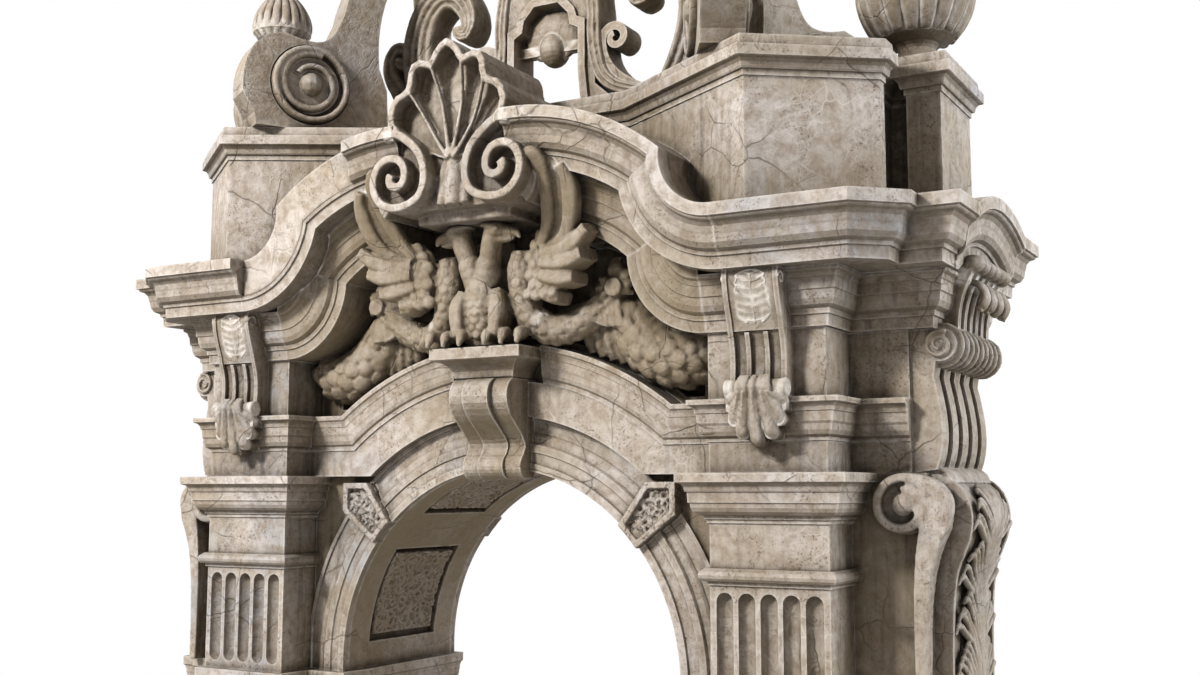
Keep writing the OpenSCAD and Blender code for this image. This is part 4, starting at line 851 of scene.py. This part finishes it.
class GATEWAY_OT_scrolls(bpy.types.Operator):
    """Carve the great scrolls and the shell between them, front and back"""
    bl_idname = "gateway.scrolls"
    bl_label = "Scrolls and shell"

    FACE = 1.490
    SHELL_FACE = 1.482
    WALL = 0.62
    CAP = 0.705
    ATTIC = 4.15
    # Middle of the band of the right scroll, from the pediment inwards
    BAND = ((0.540, 3.826), (0.460, 3.841), (0.400, 3.822), (0.330, 3.774), (0.258, 3.712), (0.205, 3.632),
            (0.180, 3.540), (0.182, 3.450), (0.215, 3.372), (0.280, 3.322), (0.375, 3.297), (0.470, 3.299),
            (0.555, 3.335), (0.612, 3.405), (0.632, 3.490), (0.615, 3.570), (0.567, 3.632), (0.492, 3.660),
            (0.412, 3.645), (0.362, 3.592), (0.350, 3.525), (0.368, 3.468), (0.415, 3.445), (0.468, 3.462),
            (0.488, 3.505), (0.470, 3.540))
    # Where the first turn of the band is complete
    TURN = 17
    # Middle of the scalloped rim of the shell, from its peak down to the right scroll
    RIM = ((0.0, 4.452), (0.045, 4.426), (0.085, 4.385), (0.118, 4.330), (0.140, 4.302), (0.168, 4.314),
           (0.232, 4.330), (0.284, 4.312), (0.306, 4.265), (0.314, 4.200), (0.328, 4.150), (0.362, 4.120),
           (0.421, 4.096), (0.466, 4.050), (0.486, 3.975), (0.474, 3.900), (0.420, 3.838))
    ROOT = (0.0, 3.60)
    RIDGES = (27.0, 58.2, 79.0, 101.0, 121.8, 153.0)

    def scroll(self, work, settings):
        band, half = settings.band / 2, settings.depth / 2 + 0.02
        work.limb(flat(self.BAND, half - self.FACE), (band,) * 9 + (band * 1.1,), (half,), sides=20, square=0.2,
                  count=150)
        work.limb(flat(self.BAND[-3:], half - self.FACE), (band * 1.1, band * 1.25), (half,), sides=20, square=0.4,
                  count=14)
        line = curve(self.BAND, 25 * 6 + 1)[6:self.TURN * 6]
        floor = settings.depth - self.FACE
        work.add(*prism([tuple(point) for point in offset(line, band * 0.98)], floor, -self.WALL))
        turn = np.radians(np.linspace(-52, 88, 24))
        radius = np.interp(np.linspace(-52, 88, 24), (-52, 0, 88), (0.274, 0.245, 0.204))
        work.add(*prism([(0.443, 3.468)] + [(0.443 + r * math.cos(a), 3.468 + r * math.sin(a))
                                            for a, r in zip(turn, radius)],
                        floor, -self.WALL))

    def shell(self, work, settings):
        half = settings.rim / 2
        rim = np.array(self.RIM)
        reach = np.hypot(*(rim - self.ROOT).T)
        angle = np.degrees(np.arctan2(*(rim - self.ROOT).T[::-1]))
        # Outer outline down to the web between the scrolls
        edge = [tuple(point) for point in offset(rim[1:], -half)]
        right = [(0.0, 4.452 + half * 1.2)] + edge
        right += [(0.27, 3.74), (0.19, 3.62), (0.165, 3.50), (0.19, 3.36), (0.27, 3.305)]
        foot = [(0.36, 3.283), (-0.36, 3.283)]
        back_edge = [(-x, z) for x, z in right[::-1]]
        work.add(*prism(right + foot + back_edge[:-1], settings.sink - self.SHELL_FACE, -self.CAP))
        under = [(0.40, 3.40), (0.40, 3.20), (-0.40, 3.20), (-0.40, 3.40)]
        work.add(*prism(under, -1.24, -self.WALL))
        low = [(x, z) for x, z in right if z < self.ATTIC]
        low = [(low[0][0], self.ATTIC)] + low
        work.add(*prism(low + foot + [(-x, z) for x, z in low[::-1]], -self.CAP - 0.1, -self.WALL))
        # Scalloped rim, in straight runs so that its corners stay crisp
        for side in (-1, 1):
            for a, b in zip(rim[:-1], rim[1:]):
                stretch = (b - a) / np.hypot(*(b - a)) * half * 0.6
                run = [(side * x, z) for x, z in (a - stretch, b + stretch)]
                work.limb(flat(run, settings.sink / 2 + 0.02 - self.SHELL_FACE), (half,),
                          (settings.sink / 2 + 0.02,),
                          sides=20, square=0.2, count=4)
        # Fan of concave flutes
        turns, shares = np.linspace(24, 156, 100), np.linspace(0.03, 1.0, 26)
        ridge = np.array(self.RIDGES)
        front = np.empty((len(turns), len(shares), 3))
        for i, turn in enumerate(turns):
            k = int(np.clip(np.searchsorted(ridge, turn) - 1, 0, len(ridge) - 2))
            between = np.clip((turn - ridge[k]) / (ridge[k + 1] - ridge[k]), 0, 1)
            far = np.interp(min(turn, 180 - turn), angle[::-1], reach[::-1])
            lift = np.interp(shares, (0, 0.1, 0.5, 0.8, 1), (1.402, 1.398, 1.374, 1.405, 1.460))
            hollow = (np.interp(shares, (0, 0.2, 0.6, 0.9, 1), (0, 0.032, 0.085, 0.125, 0.138))
                      * math.sin(math.pi * between) ** 0.65)
            front[i, :, 0] = self.ROOT[0] + far * shares * math.cos(math.radians(turn))
            front[i, :, 1] = hollow - lift
            front[i, :, 2] = self.ROOT[1] + far * shares * math.sin(math.radians(turn))
        rows, columns = front.shape[:2]
        back = front.copy()
        back[..., 1] = -1.20
        spot = lambda i, j, side: i * columns + j + side * rows * columns
        faces = [(spot(i, j, 0), spot(i, j + 1, 0), spot(i + 1, j + 1, 0), spot(i + 1, j, 0))
                 for i in range(rows - 1) for j in range(columns - 1)]
        faces += [(spot(i, j, 1), spot(i + 1, j, 1), spot(i + 1, j + 1, 1), spot(i, j + 1, 1))
                  for i in range(rows - 1) for j in range(columns - 1)]
        border = [(i, 0) for i in range(rows)] + [(rows - 1, j) for j in range(1, columns)]
        border += [(i, columns - 1) for i in range(rows - 2, -1, -1)] + [(0, j) for j in range(columns - 2, 0, -1)]
        faces += [(spot(*a, 0), spot(*b, 0), spot(*b, 1), spot(*a, 1))
                  for a, b in zip(border, border[1:] + border[:1])]
        work.add(np.vstack([front.reshape(-1, 3), back.reshape(-1, 3)]), faces)
        # Thin ridges between the flutes, and the stem below the root
        for side in (-1, 1):
            for line in (((0.132, -1.470, 4.292), (0.116, -1.440, 4.210), (0.097, -1.405, 4.104),
                          (0.078, -1.386, 3.990), (0.036, -1.392, 3.766), (0.012, -1.402, 3.650)),
                         ((0.322, -1.470, 4.128), (0.285, -1.440, 4.060), (0.237, -1.412, 3.966),
                          (0.176, -1.394, 3.853), (0.085, -1.398, 3.712), (0.020, -1.404, 3.625))):
                work.limb([(side * x, y, z) for x, y, z in line], (0.012, 0.011, 0.013, 0.020), (0.018,), sides=12,
                          square=0.8, count=30)
            work.limb([(side * 0.03, -1.35, 3.68), (side * 0.085, -1.338, 3.58), (side * 0.105, -1.335, 3.46),
                       (side * 0.10, -1.345, 3.35), (side * 0.11, -1.365, 3.295)],
                      (0.015, 0.035, 0.042, 0.045, 0.032), (0.02, 0.04, 0.045, 0.05, 0.035), sides=14)
        work.limb([(0, -1.36, 3.74), (0, -1.36, 3.60), (0, -1.362, 3.45), (0, -1.365, 3.34), (0, -1.375, 3.288)],
                  (0.02, 0.058, 0.075, 0.070, 0.055), (0.025, 0.042, 0.052, 0.055, 0.045), sides=18)

    def execute(self, context):
        settings = context.scene.gateway_scrolls
        for side, back in (("front", False), ("back", True)):
            work = Carving()
            self.scroll(work, settings)
            work.mirror(0)
            self.shell(work, settings)
            if back:
                work.turn_round()
            work.carve(side + "_scrolls_and_shell", [side + "_scrolls", side + "_shell"], "rubbed", settings.grid,
                       0.0022, 0.05)
        return {"FINISHED"}


class GATEWAY_OT_rough_panels(bpy.types.Operator):
    """Pick the ear blocks and the soffit panels into worm-eaten rustic work"""
    bl_idname = "gateway.rough_panels"
    bl_label = "Vermiculated panels"

    def execute(self, context):
        settings = context.scene.gateway_panels
        for node, grid in (("ear_blocks", settings.grid), ("soffit_panels", settings.grid * 1.5)):
            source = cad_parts[node]
            raw = stand_in(source.data.copy())
            raw.data.transform(source.matrix_world)
            fuse_at(raw, grid)
            mesh = settled(raw, node + "_picked")
            spots, normals = surface_of(mesh)
            holes = np.array([noise.noise(Vector(spot) / settings.worm)
                              + 0.35 * noise.noise(Vector(spot) / (settings.worm * 0.45)) for spot in spots])
            depth = np.clip((holes - 0.02) / 0.22, 0, 1) * settings.depth
            if node == "ear_blocks":
                depth *= (np.abs(spots[:, 1]) < 0.766) * (np.abs(normals[:, 1]) > 0.8)
            else:
                reach = np.hypot(spots[:, 0], spots[:, 2] - SPRING_Z)
                depth *= (reach < 1.462)
            move_points(mesh, spots - normals * depth[:, None])
            finish(node + "_picked", thin(mesh, 0.41), [node],
                   "vermiculated" if node == "ear_blocks" else "sheltered")
        return {"FINISHED"}


class GATEWAY_OT_crest(bpy.types.Operator):
    """Carve the fluted bands, the curls and the disc behind the egg of the crest"""
    bl_idname = "gateway.crest"
    bl_label = "Crest ornament"

    # Middle lines on the right half, in x and z, with half widths at even steps
    BAND = (((1.04, 4.18), (1.12, 4.36), (1.20, 4.52), (1.275, 4.72), (1.31, 4.92), (1.295, 5.12), (1.21, 5.32),
             (1.06, 5.43), (0.91, 5.40), (0.81, 5.28), (0.775, 5.16), (0.81, 5.07), (0.88, 5.08), (0.89, 5.14)),
            (0.13, 0.14, 0.15, 0.155, 0.15, 0.13, 0.10, 0.075, 0.055, 0.045))
    EDGE = (((0.36, 5.46), (0.41, 5.26), (0.435, 5.05), (0.435, 4.85), (0.455, 4.67), (0.51, 4.51),
             (0.63, 4.40), (0.84, 4.33)),
            (0.05, 0.06, 0.065, 0.065, 0.06, 0.045))
    OUTER = (((1.37, 4.18), (1.42, 4.45), (1.50, 4.66), (1.60, 4.82), (1.62, 4.96), (1.55, 5.06), (1.45, 5.04),
              (1.42, 4.95), (1.48, 4.90), (1.53, 4.95)),
             (0.10, 0.09, 0.07, 0.055, 0.045, 0.035))

    def ribs(self, work, line, count, deep):
        """Parallel round ribs that share the width of a band."""
        points, widths = line
        path = curve(points, 60)
        wide = np.interp(np.linspace(0, 1, 60), np.linspace(0, 1, len(widths)), widths)
        for k in range(count):
            shift = (2 * (k + 0.5) / count - 1) * wide
            middle = offset(path, shift[:, None])
            for face in (-1, 1):
                work.limb(flat(middle, face * deep * 0.45), wide / count * 1.12, (deep * 0.6,), sides=12, count=60)

    def execute(self, context):
        settings = context.scene.gateway_attic
        work = Carving()
        self.ribs(work, self.BAND, settings.ribs, 0.13)
        self.ribs(work, self.EDGE, 3, 0.15)
        self.ribs(work, self.OUTER, 2, 0.11)
        for spot, radius in (((0.862, 0, 5.115), 0.05), ((1.505, 0, 4.95), 0.045)):
            work.egg(spot, (radius, 0.15, radius))
        # Leaf that curls off the outer side of the band
        for lift, reach in ((5.10, 0.16), (4.86, 0.18), (4.62, 0.15)):
            work.limb([(1.33, 0, lift - 0.16), (1.39, 0, lift - 0.05), (1.36 + reach * 0.5, 0, lift + 0.03),
                       (1.30 + reach, 0, lift - 0.01)], (0.05, 0.045, 0.035, 0.018), (0.09, 0.08, 0.06, 0.04),
                       sides=12)
        work.mirror(0)
        # Disc that holds the egg
        work.egg((0, 0, 4.935), (0.300, 0.075, 0.215))
        work.carve("crest_ornament", [], "carved", settings.grid, 0.0025)
        return {"FINISHED"}


class GATEWAY_OT_bosses(bpy.types.Operator):
    """Carve the swirls and bosses of the attic wings and the spirals on the ends of the rolls"""
    bl_idname = "gateway.bosses"
    bl_label = "Swirls and bosses"

    # A wing starts here and runs towards the second place
    FROM, TO = (2.050, -1.275), (1.350, -0.075)

    def swirl(self, work, centre, start, end, turns, half, lift, face, knob):
        """A raised spiral with a knob in its middle, on a face of constant depth."""
        way = np.linspace(math.radians(70), math.radians(70 + 360 * turns), 60)
        radius = np.linspace(start, end, 60)
        line = [(centre[0] + r * math.cos(a), centre[1] + r * math.sin(a)) for a, r in zip(way, radius)]
        work.limb(flat(line, face), (half * 1.15, half, half * 0.8), (lift,), sides=14, square=0.7, count=120)
        work.egg((centre[0], face, centre[1]), (knob, knob * 0.75, knob))

    def execute(self, context):
        settings = context.scene.gateway_attic
        work = Carving()
        # Rim, swirl and knob on one face of a wing, then on its other face
        self.swirl(work, (0.43, 4.531), 0.262, 0.135, 1.2, 0.030, settings.swell, -0.15, 0.10)
        ring = [(0.43 + 0.292 * math.cos(a), 4.531 + 0.292 * math.sin(a)) for a in np.linspace(0, 2 * math.pi, 61)]
        work.limb(flat(ring, -0.15), (0.026,), (settings.swell * 1.2,), sides=14, square=0.6, count=120)
        work.mirror(1)
        start, ahead = np.array(self.FROM), unit(np.array(self.TO) - np.array(self.FROM))
        across = np.array((-ahead[1], ahead[0]))
        points = work.points.copy()
        work.points[:, :2] = start + points[:, :1] * ahead + points[:, 1:2] * across
        # Spiral on the end of the roll above it
        way = np.radians(np.linspace(60, 640, 80))
        radius = np.linspace(0.090, 0.026, 80)
        work.limb([(3.200 + r * math.cos(a), -0.560, 2.205 + r * math.sin(a)) for a, r in zip(way, radius)],
                  (0.015, 0.013, 0.011), (0.030,), sides=12, square=0.6, count=140)
        work.egg((3.200, -0.556, 2.205), (0.028, 0.026, 0.028))
        four_ways(work)
        work.carve("swirls_and_bosses", [], "carved", settings.grid * 0.9, 0.002, 0.05)
        return {"FINISHED"}


class GATEWAY_OT_side_volutes(bpy.types.Operator):
    """Carve the four volutes beside the piers, with a deep curl around a knob"""
    bl_idname = "gateway.side_volutes"
    bl_label = "Side volutes"

    CURL = (2.985, 1.20)
    # Corners of the curves down the outer and the inner edge, from the top of the curl
    EDGES = (((0, 0.195), (0.150, 0.205), (0.320, 0.120), (0.290, -0.040)),
             ((0.270, -0.150), (0.150, -0.380), (0.120, -0.560), (0.125, -1.300)),
             ((0.060, -1.300), (0.040, -0.560), (0.060, -0.330), (0.100, -0.150)))

    def execute(self, context):
        settings = context.scene.gateway_volutes
        work = Carving()
        outline = []
        for corners in self.EDGES:
            for t in np.linspace(0, 1, 12):
                share = np.array(((1 - t) ** 3, 3 * t * (1 - t) ** 2, 3 * t * t * (1 - t), t ** 3))
                outline.append(tuple(np.array(self.CURL) + share @ np.array(corners)))
        face, wall = -0.725, -0.585
        work.add(*prism(outline, face, wall))
        circle = [(self.CURL[0] + 0.185 * math.cos(a), self.CURL[1] + 0.185 * math.sin(a))
                  for a in np.linspace(0, 2 * math.pi, 49)[:-1]]
        work.add(*prism(circle, face + settings.depth, wall))
        way = np.radians(np.linspace(20, 455, 90))
        radius = np.interp(np.degrees(way), (20, 200, 455), (0.172, 0.166, 0.086))
        work.limb([(self.CURL[0] + r * math.cos(a), face + settings.depth / 2 + 0.005,
                    self.CURL[1] + r * math.sin(a))
                   for a, r in zip(way, radius)], (0.030, 0.028, 0.030, 0.034, 0.030),
                   (settings.depth / 2 + 0.012,), sides=20,
                  square=0.4, count=140)
        work.egg((self.CURL[0], face + 0.02, self.CURL[1]), (settings.knob, 0.055, settings.knob))
        four_ways(work)
        work.carve("side_volutes_carved", ["side_volutes"], "rubbed", settings.grid, 0.0018, 0.05)
        return {"FINISHED"}


def radial_tree():
    """Node tree that sets copies of a carved lobe around two upright axes."""
    tree = bpy.data.node_groups.new("gadroon_rings", "GeometryNodeTree")
    for name, kind in (("Lobe", "NodeSocketGeometry"), ("Count", "NodeSocketInt"), ("Distance", "NodeSocketFloat"),
                       ("Stone", "NodeSocketMaterial")):
        tree.interface.new_socket(name, in_out="INPUT", socket_type=kind)
    tree.interface.new_socket("Rings", in_out="OUTPUT", socket_type="NodeSocketGeometry")
    given = add_node(tree, "NodeGroupInput")
    points = add_node(tree, "GeometryNodePoints", {"Count": (given, "Count")})
    step = maths(tree, "DIVIDE", 2 * math.pi, (given, "Count"), False)
    angle = maths(tree, "MULTIPLY", (add_node(tree, "GeometryNodeInputIndex"), 0), step, False)
    turn = add_node(tree, "FunctionNodeEulerToRotation",
                    {0: (add_node(tree, "ShaderNodeCombineXYZ", {2: angle}), 0)})
    ring = add_node(tree, "GeometryNodeInstanceOnPoints", {"Points": (points, 0), "Instance": (given, "Lobe"),
                                                           "Rotation": (turn, 0)})
    both = add_node(tree, "GeometryNodeJoinGeometry")
    for side in (-1, 1):
        shift = add_node(tree, "ShaderNodeCombineXYZ",
                         {0: maths(tree, "MULTIPLY", (given, "Distance"), side, False)})
        moved = add_node(tree, "GeometryNodeTransform", {"Geometry": (ring, 0), "Translation": (shift, 0)})
        tree.links.new(moved.outputs[0], both.inputs[0])
    real = add_node(tree, "GeometryNodeRealizeInstances", {0: (both, 0)})
    stone = add_node(tree, "GeometryNodeSetMaterial", {"Geometry": (real, 0), "Material": (given, "Stone")})
    add_node(tree, "NodeGroupOutput", {0: (stone, 0)})
    return tree


class GATEWAY_OT_gadroons(bpy.types.Operator):
    """Set the gadroons around the bowls and the buds of the urns"""
    bl_idname = "gateway.gadroons"
    bl_label = "Gadroons"

    AXIS = 2.95
    BASE = 4.156
    # Radius and height of the bowl and of the bud above the attic
    BOWL = ((0.262, 0.245), (0.318, 0.330), (0.366, 0.450), (0.384, 0.570), (0.372, 0.680), (0.335, 0.770))
    BUD = ((0.190, 1.235), (0.240, 1.320), (0.236, 1.430), (0.180, 1.550), (0.090, 1.660))

    def execute(self, context):
        settings = context.scene.gateway_attic
        tree = radial_tree()
        for name, line, lift in (("urn_gadroons", self.BOWL, 0.030), ("urn_bud_leaves", self.BUD, 0.026)):
            work = Carving()
            half = max(radius for radius, height in line) * math.pi / settings.gadroons * 0.93
            work.limb([(radius, 0, SPRING_Z + self.BASE + height) for radius, height in line],
                      (half * 0.62, half * 0.9, half, half, half * 0.8, half * 0.5),
                      (lift * 0.6, lift, lift, lift * 0.7),
                      outward=(1, 0, 0), sides=12, count=14)
            raw = stand_in(work.mesh(name + "_lobe"))
            array = raw.modifiers.new("rings", "NODES")
            array.node_group = tree
            values = {"Count": settings.gadroons, "Distance": self.AXIS, "Stone": stones()["carved"]}
            for socket in tree.interface.items_tree:
                if socket.in_out == "INPUT" and socket.name in values:
                    array[socket.identifier] = values[socket.name]
            mesh = settled(raw, name)
            if len(mesh.polygons) < 2 * settings.gadroons:
                raise RuntimeError("the rings of " + name + " are empty")
            finish(name, mesh, [], "carved")
        return {"FINISHED"}


class GATEWAY_OT_flank_leaves(bpy.types.Operator):
    """Carve the acanthus down the flanks, the bands of the rolls and the lobes under the hoods"""
    bl_idname = "gateway.flank_leaves"
    bl_label = "Flank acanthus"

    # Height and reach of the sunk face of a flank
    FACE = ((-0.10, 3.215), (0.22, 3.219), (0.47, 3.227), (0.66, 3.241), (0.79, 3.265), (0.88, 3.300),
            (0.98, 3.340), (1.08, 3.360), (1.13, 3.361), (1.18, 3.356), (1.23, 3.344), (1.27, 3.324),
            (1.31, 3.297), (1.34, 3.260))

    def on_face(self, points):
        """Points of y and z laid on the sunk face."""
        heights, reach = zip(*self.FACE)
        return [(float(np.interp(z, heights, reach)), y, z) for y, z in points]

    def fronds(self, work, settings):
        """Tiers of leaves made of fine veins that rise from the middle and part at their tips."""
        chance = np.random.default_rng(settings.seed)
        lines = settings.veins
        for foot in np.linspace(-0.08, 0.86, settings.tiers):
            for i in range(-lines, lines + 1):
                share = i / lines
                top = foot + 0.52 - 0.30 * abs(share) ** 1.5 + chance.uniform(-0.02, 0.02)
                wide = share * 0.44
                points = [(share * 0.05, foot), (share * 0.12, foot + (top - foot) * 0.35),
                          (wide * 0.66, foot + (top - foot) * 0.72),
                          (wide, top), (wide + share * 0.035, top - 0.055 * abs(share))]
                points = [(y, min(z, 1.32)) for y, z in points]
                swell = 0.014 + 0.022 * (1 - abs(share))
                path = [(x + lift, y, z)
                        for (x, y, z), lift in zip(self.on_face(points), (0.004, swell, swell, 0.014, 0.0))]
                work.limb(path, (0.010, 0.017, 0.022, 0.022, 0.010), (0.016, 0.022, 0.022, 0.010),
                          outward=(1, 0, 0), sides=10,
                          count=18)

    def execute(self, context):
        settings = context.scene.gateway_flank
        work = Carving()
        self.fronds(work, settings)
        # Round bands side by side along each roll
        for y in np.linspace(-0.50, 0.50, settings.bands):
            ring = [(3.200 + 0.098 * math.cos(a), y, 2.205 + 0.098 * math.sin(a))
                    for a in np.linspace(-2.3, 2.3, 40)]
            work.limb(ring, (0.50 / settings.bands * 0.92,), (0.020,), outward=(0, 1, 0), sides=10,
                      count=40)
        # Weathered step between the bracket and the leaf panel
        work.add(*prism([(3.03, 1.33), (3.25, 1.335), (3.215, 1.40), (3.172, 1.435), (3.03, 1.46)], -0.515, 0.515))
        # Lobes that close the ribs under the hood, and leaf tips that curl out below them
        for y in np.linspace(-0.36, 0.36, 6):
            work.egg((3.375, y, 2.735), (0.085, 0.072, 0.062))
            work.egg((3.31, y, 2.655), (0.060, 0.050, 0.075))
        for y in np.linspace(-0.27, 0.27, 4):
            work.limb([(3.33, y, 2.64), (3.405, y, 2.60), (3.435, y * 1.03, 2.52), (3.405, y * 1.05, 2.455),
                       (3.375, y * 1.05, 2.475)],
                      (0.030, 0.055, 0.060, 0.045, 0.025), (0.020, 0.026, 0.028, 0.024, 0.02), outward=(1, 0, 0.5),
                      sides=12)
        work.mirror(0)
        work.carve("flank_acanthus", [], "carved", settings.grid, 0.0018, 0.05)
        return {"FINISHED"}


OPERATORS = (GATEWAY_OT_stone, GATEWAY_OT_eagle, GATEWAY_OT_garlands, GATEWAY_OT_console_leaves, GATEWAY_OT_scrolls,
             GATEWAY_OT_rough_panels, GATEWAY_OT_crest, GATEWAY_OT_bosses, GATEWAY_OT_side_volutes,
             GATEWAY_OT_gadroons, GATEWAY_OT_flank_leaves, GATEWAY_OT_stage)
GROUPS = {"gateway_stone": GATEWAY_PG_stone, "gateway_stage": GATEWAY_PG_stage, "gateway_eagle": GATEWAY_PG_eagle,
          "gateway_garlands": GATEWAY_PG_garlands, "gateway_leaves": GATEWAY_PG_leaves,
          "gateway_scrolls": GATEWAY_PG_scrolls, "gateway_panels": GATEWAY_PG_panels,
          "gateway_attic": GATEWAY_PG_attic, "gateway_flank": GATEWAY_PG_flank,
          "gateway_volutes": GATEWAY_PG_volutes}


class GATEWAY_PT_panel(bpy.types.Panel):
    """Every step of the gateway, with its settings"""
    bl_idname = "GATEWAY_PT_panel"
    bl_label = "Stone gateway"
    bl_space_type = "VIEW_3D"
    bl_region_type = "UI"
    bl_category = "Gateway"

    def draw(self, context):
        for operator in OPERATORS:
            self.layout.operator(operator.bl_idname)
        for name, group in GROUPS.items():
            box = self.layout.box()
            for setting in group.__annotations__:
                box.prop(getattr(context.scene, name), setting)


def register():
    for group in GROUPS.values():
        bpy.utils.register_class(group)
    for item in (*OPERATORS, GATEWAY_PT_panel):
        bpy.utils.register_class(item)
    for name, group in GROUPS.items():
        setattr(bpy.types.Scene, name, PointerProperty(type=group))


def unregister():
    for name in GROUPS:
        delattr(bpy.types.Scene, name)
    for item in (GATEWAY_PT_panel, *OPERATORS):
        bpy.utils.unregister_class(item)
    for group in GROUPS.values():
        bpy.utils.unregister_class(group)


def main():
    register()
    for operator in OPERATORS:
        area, name = operator.bl_idname.split(".")
        getattr(getattr(bpy.ops, area), name)()
    bpy.context.view_layer.update()


if __name__ == "__main__":
    main()
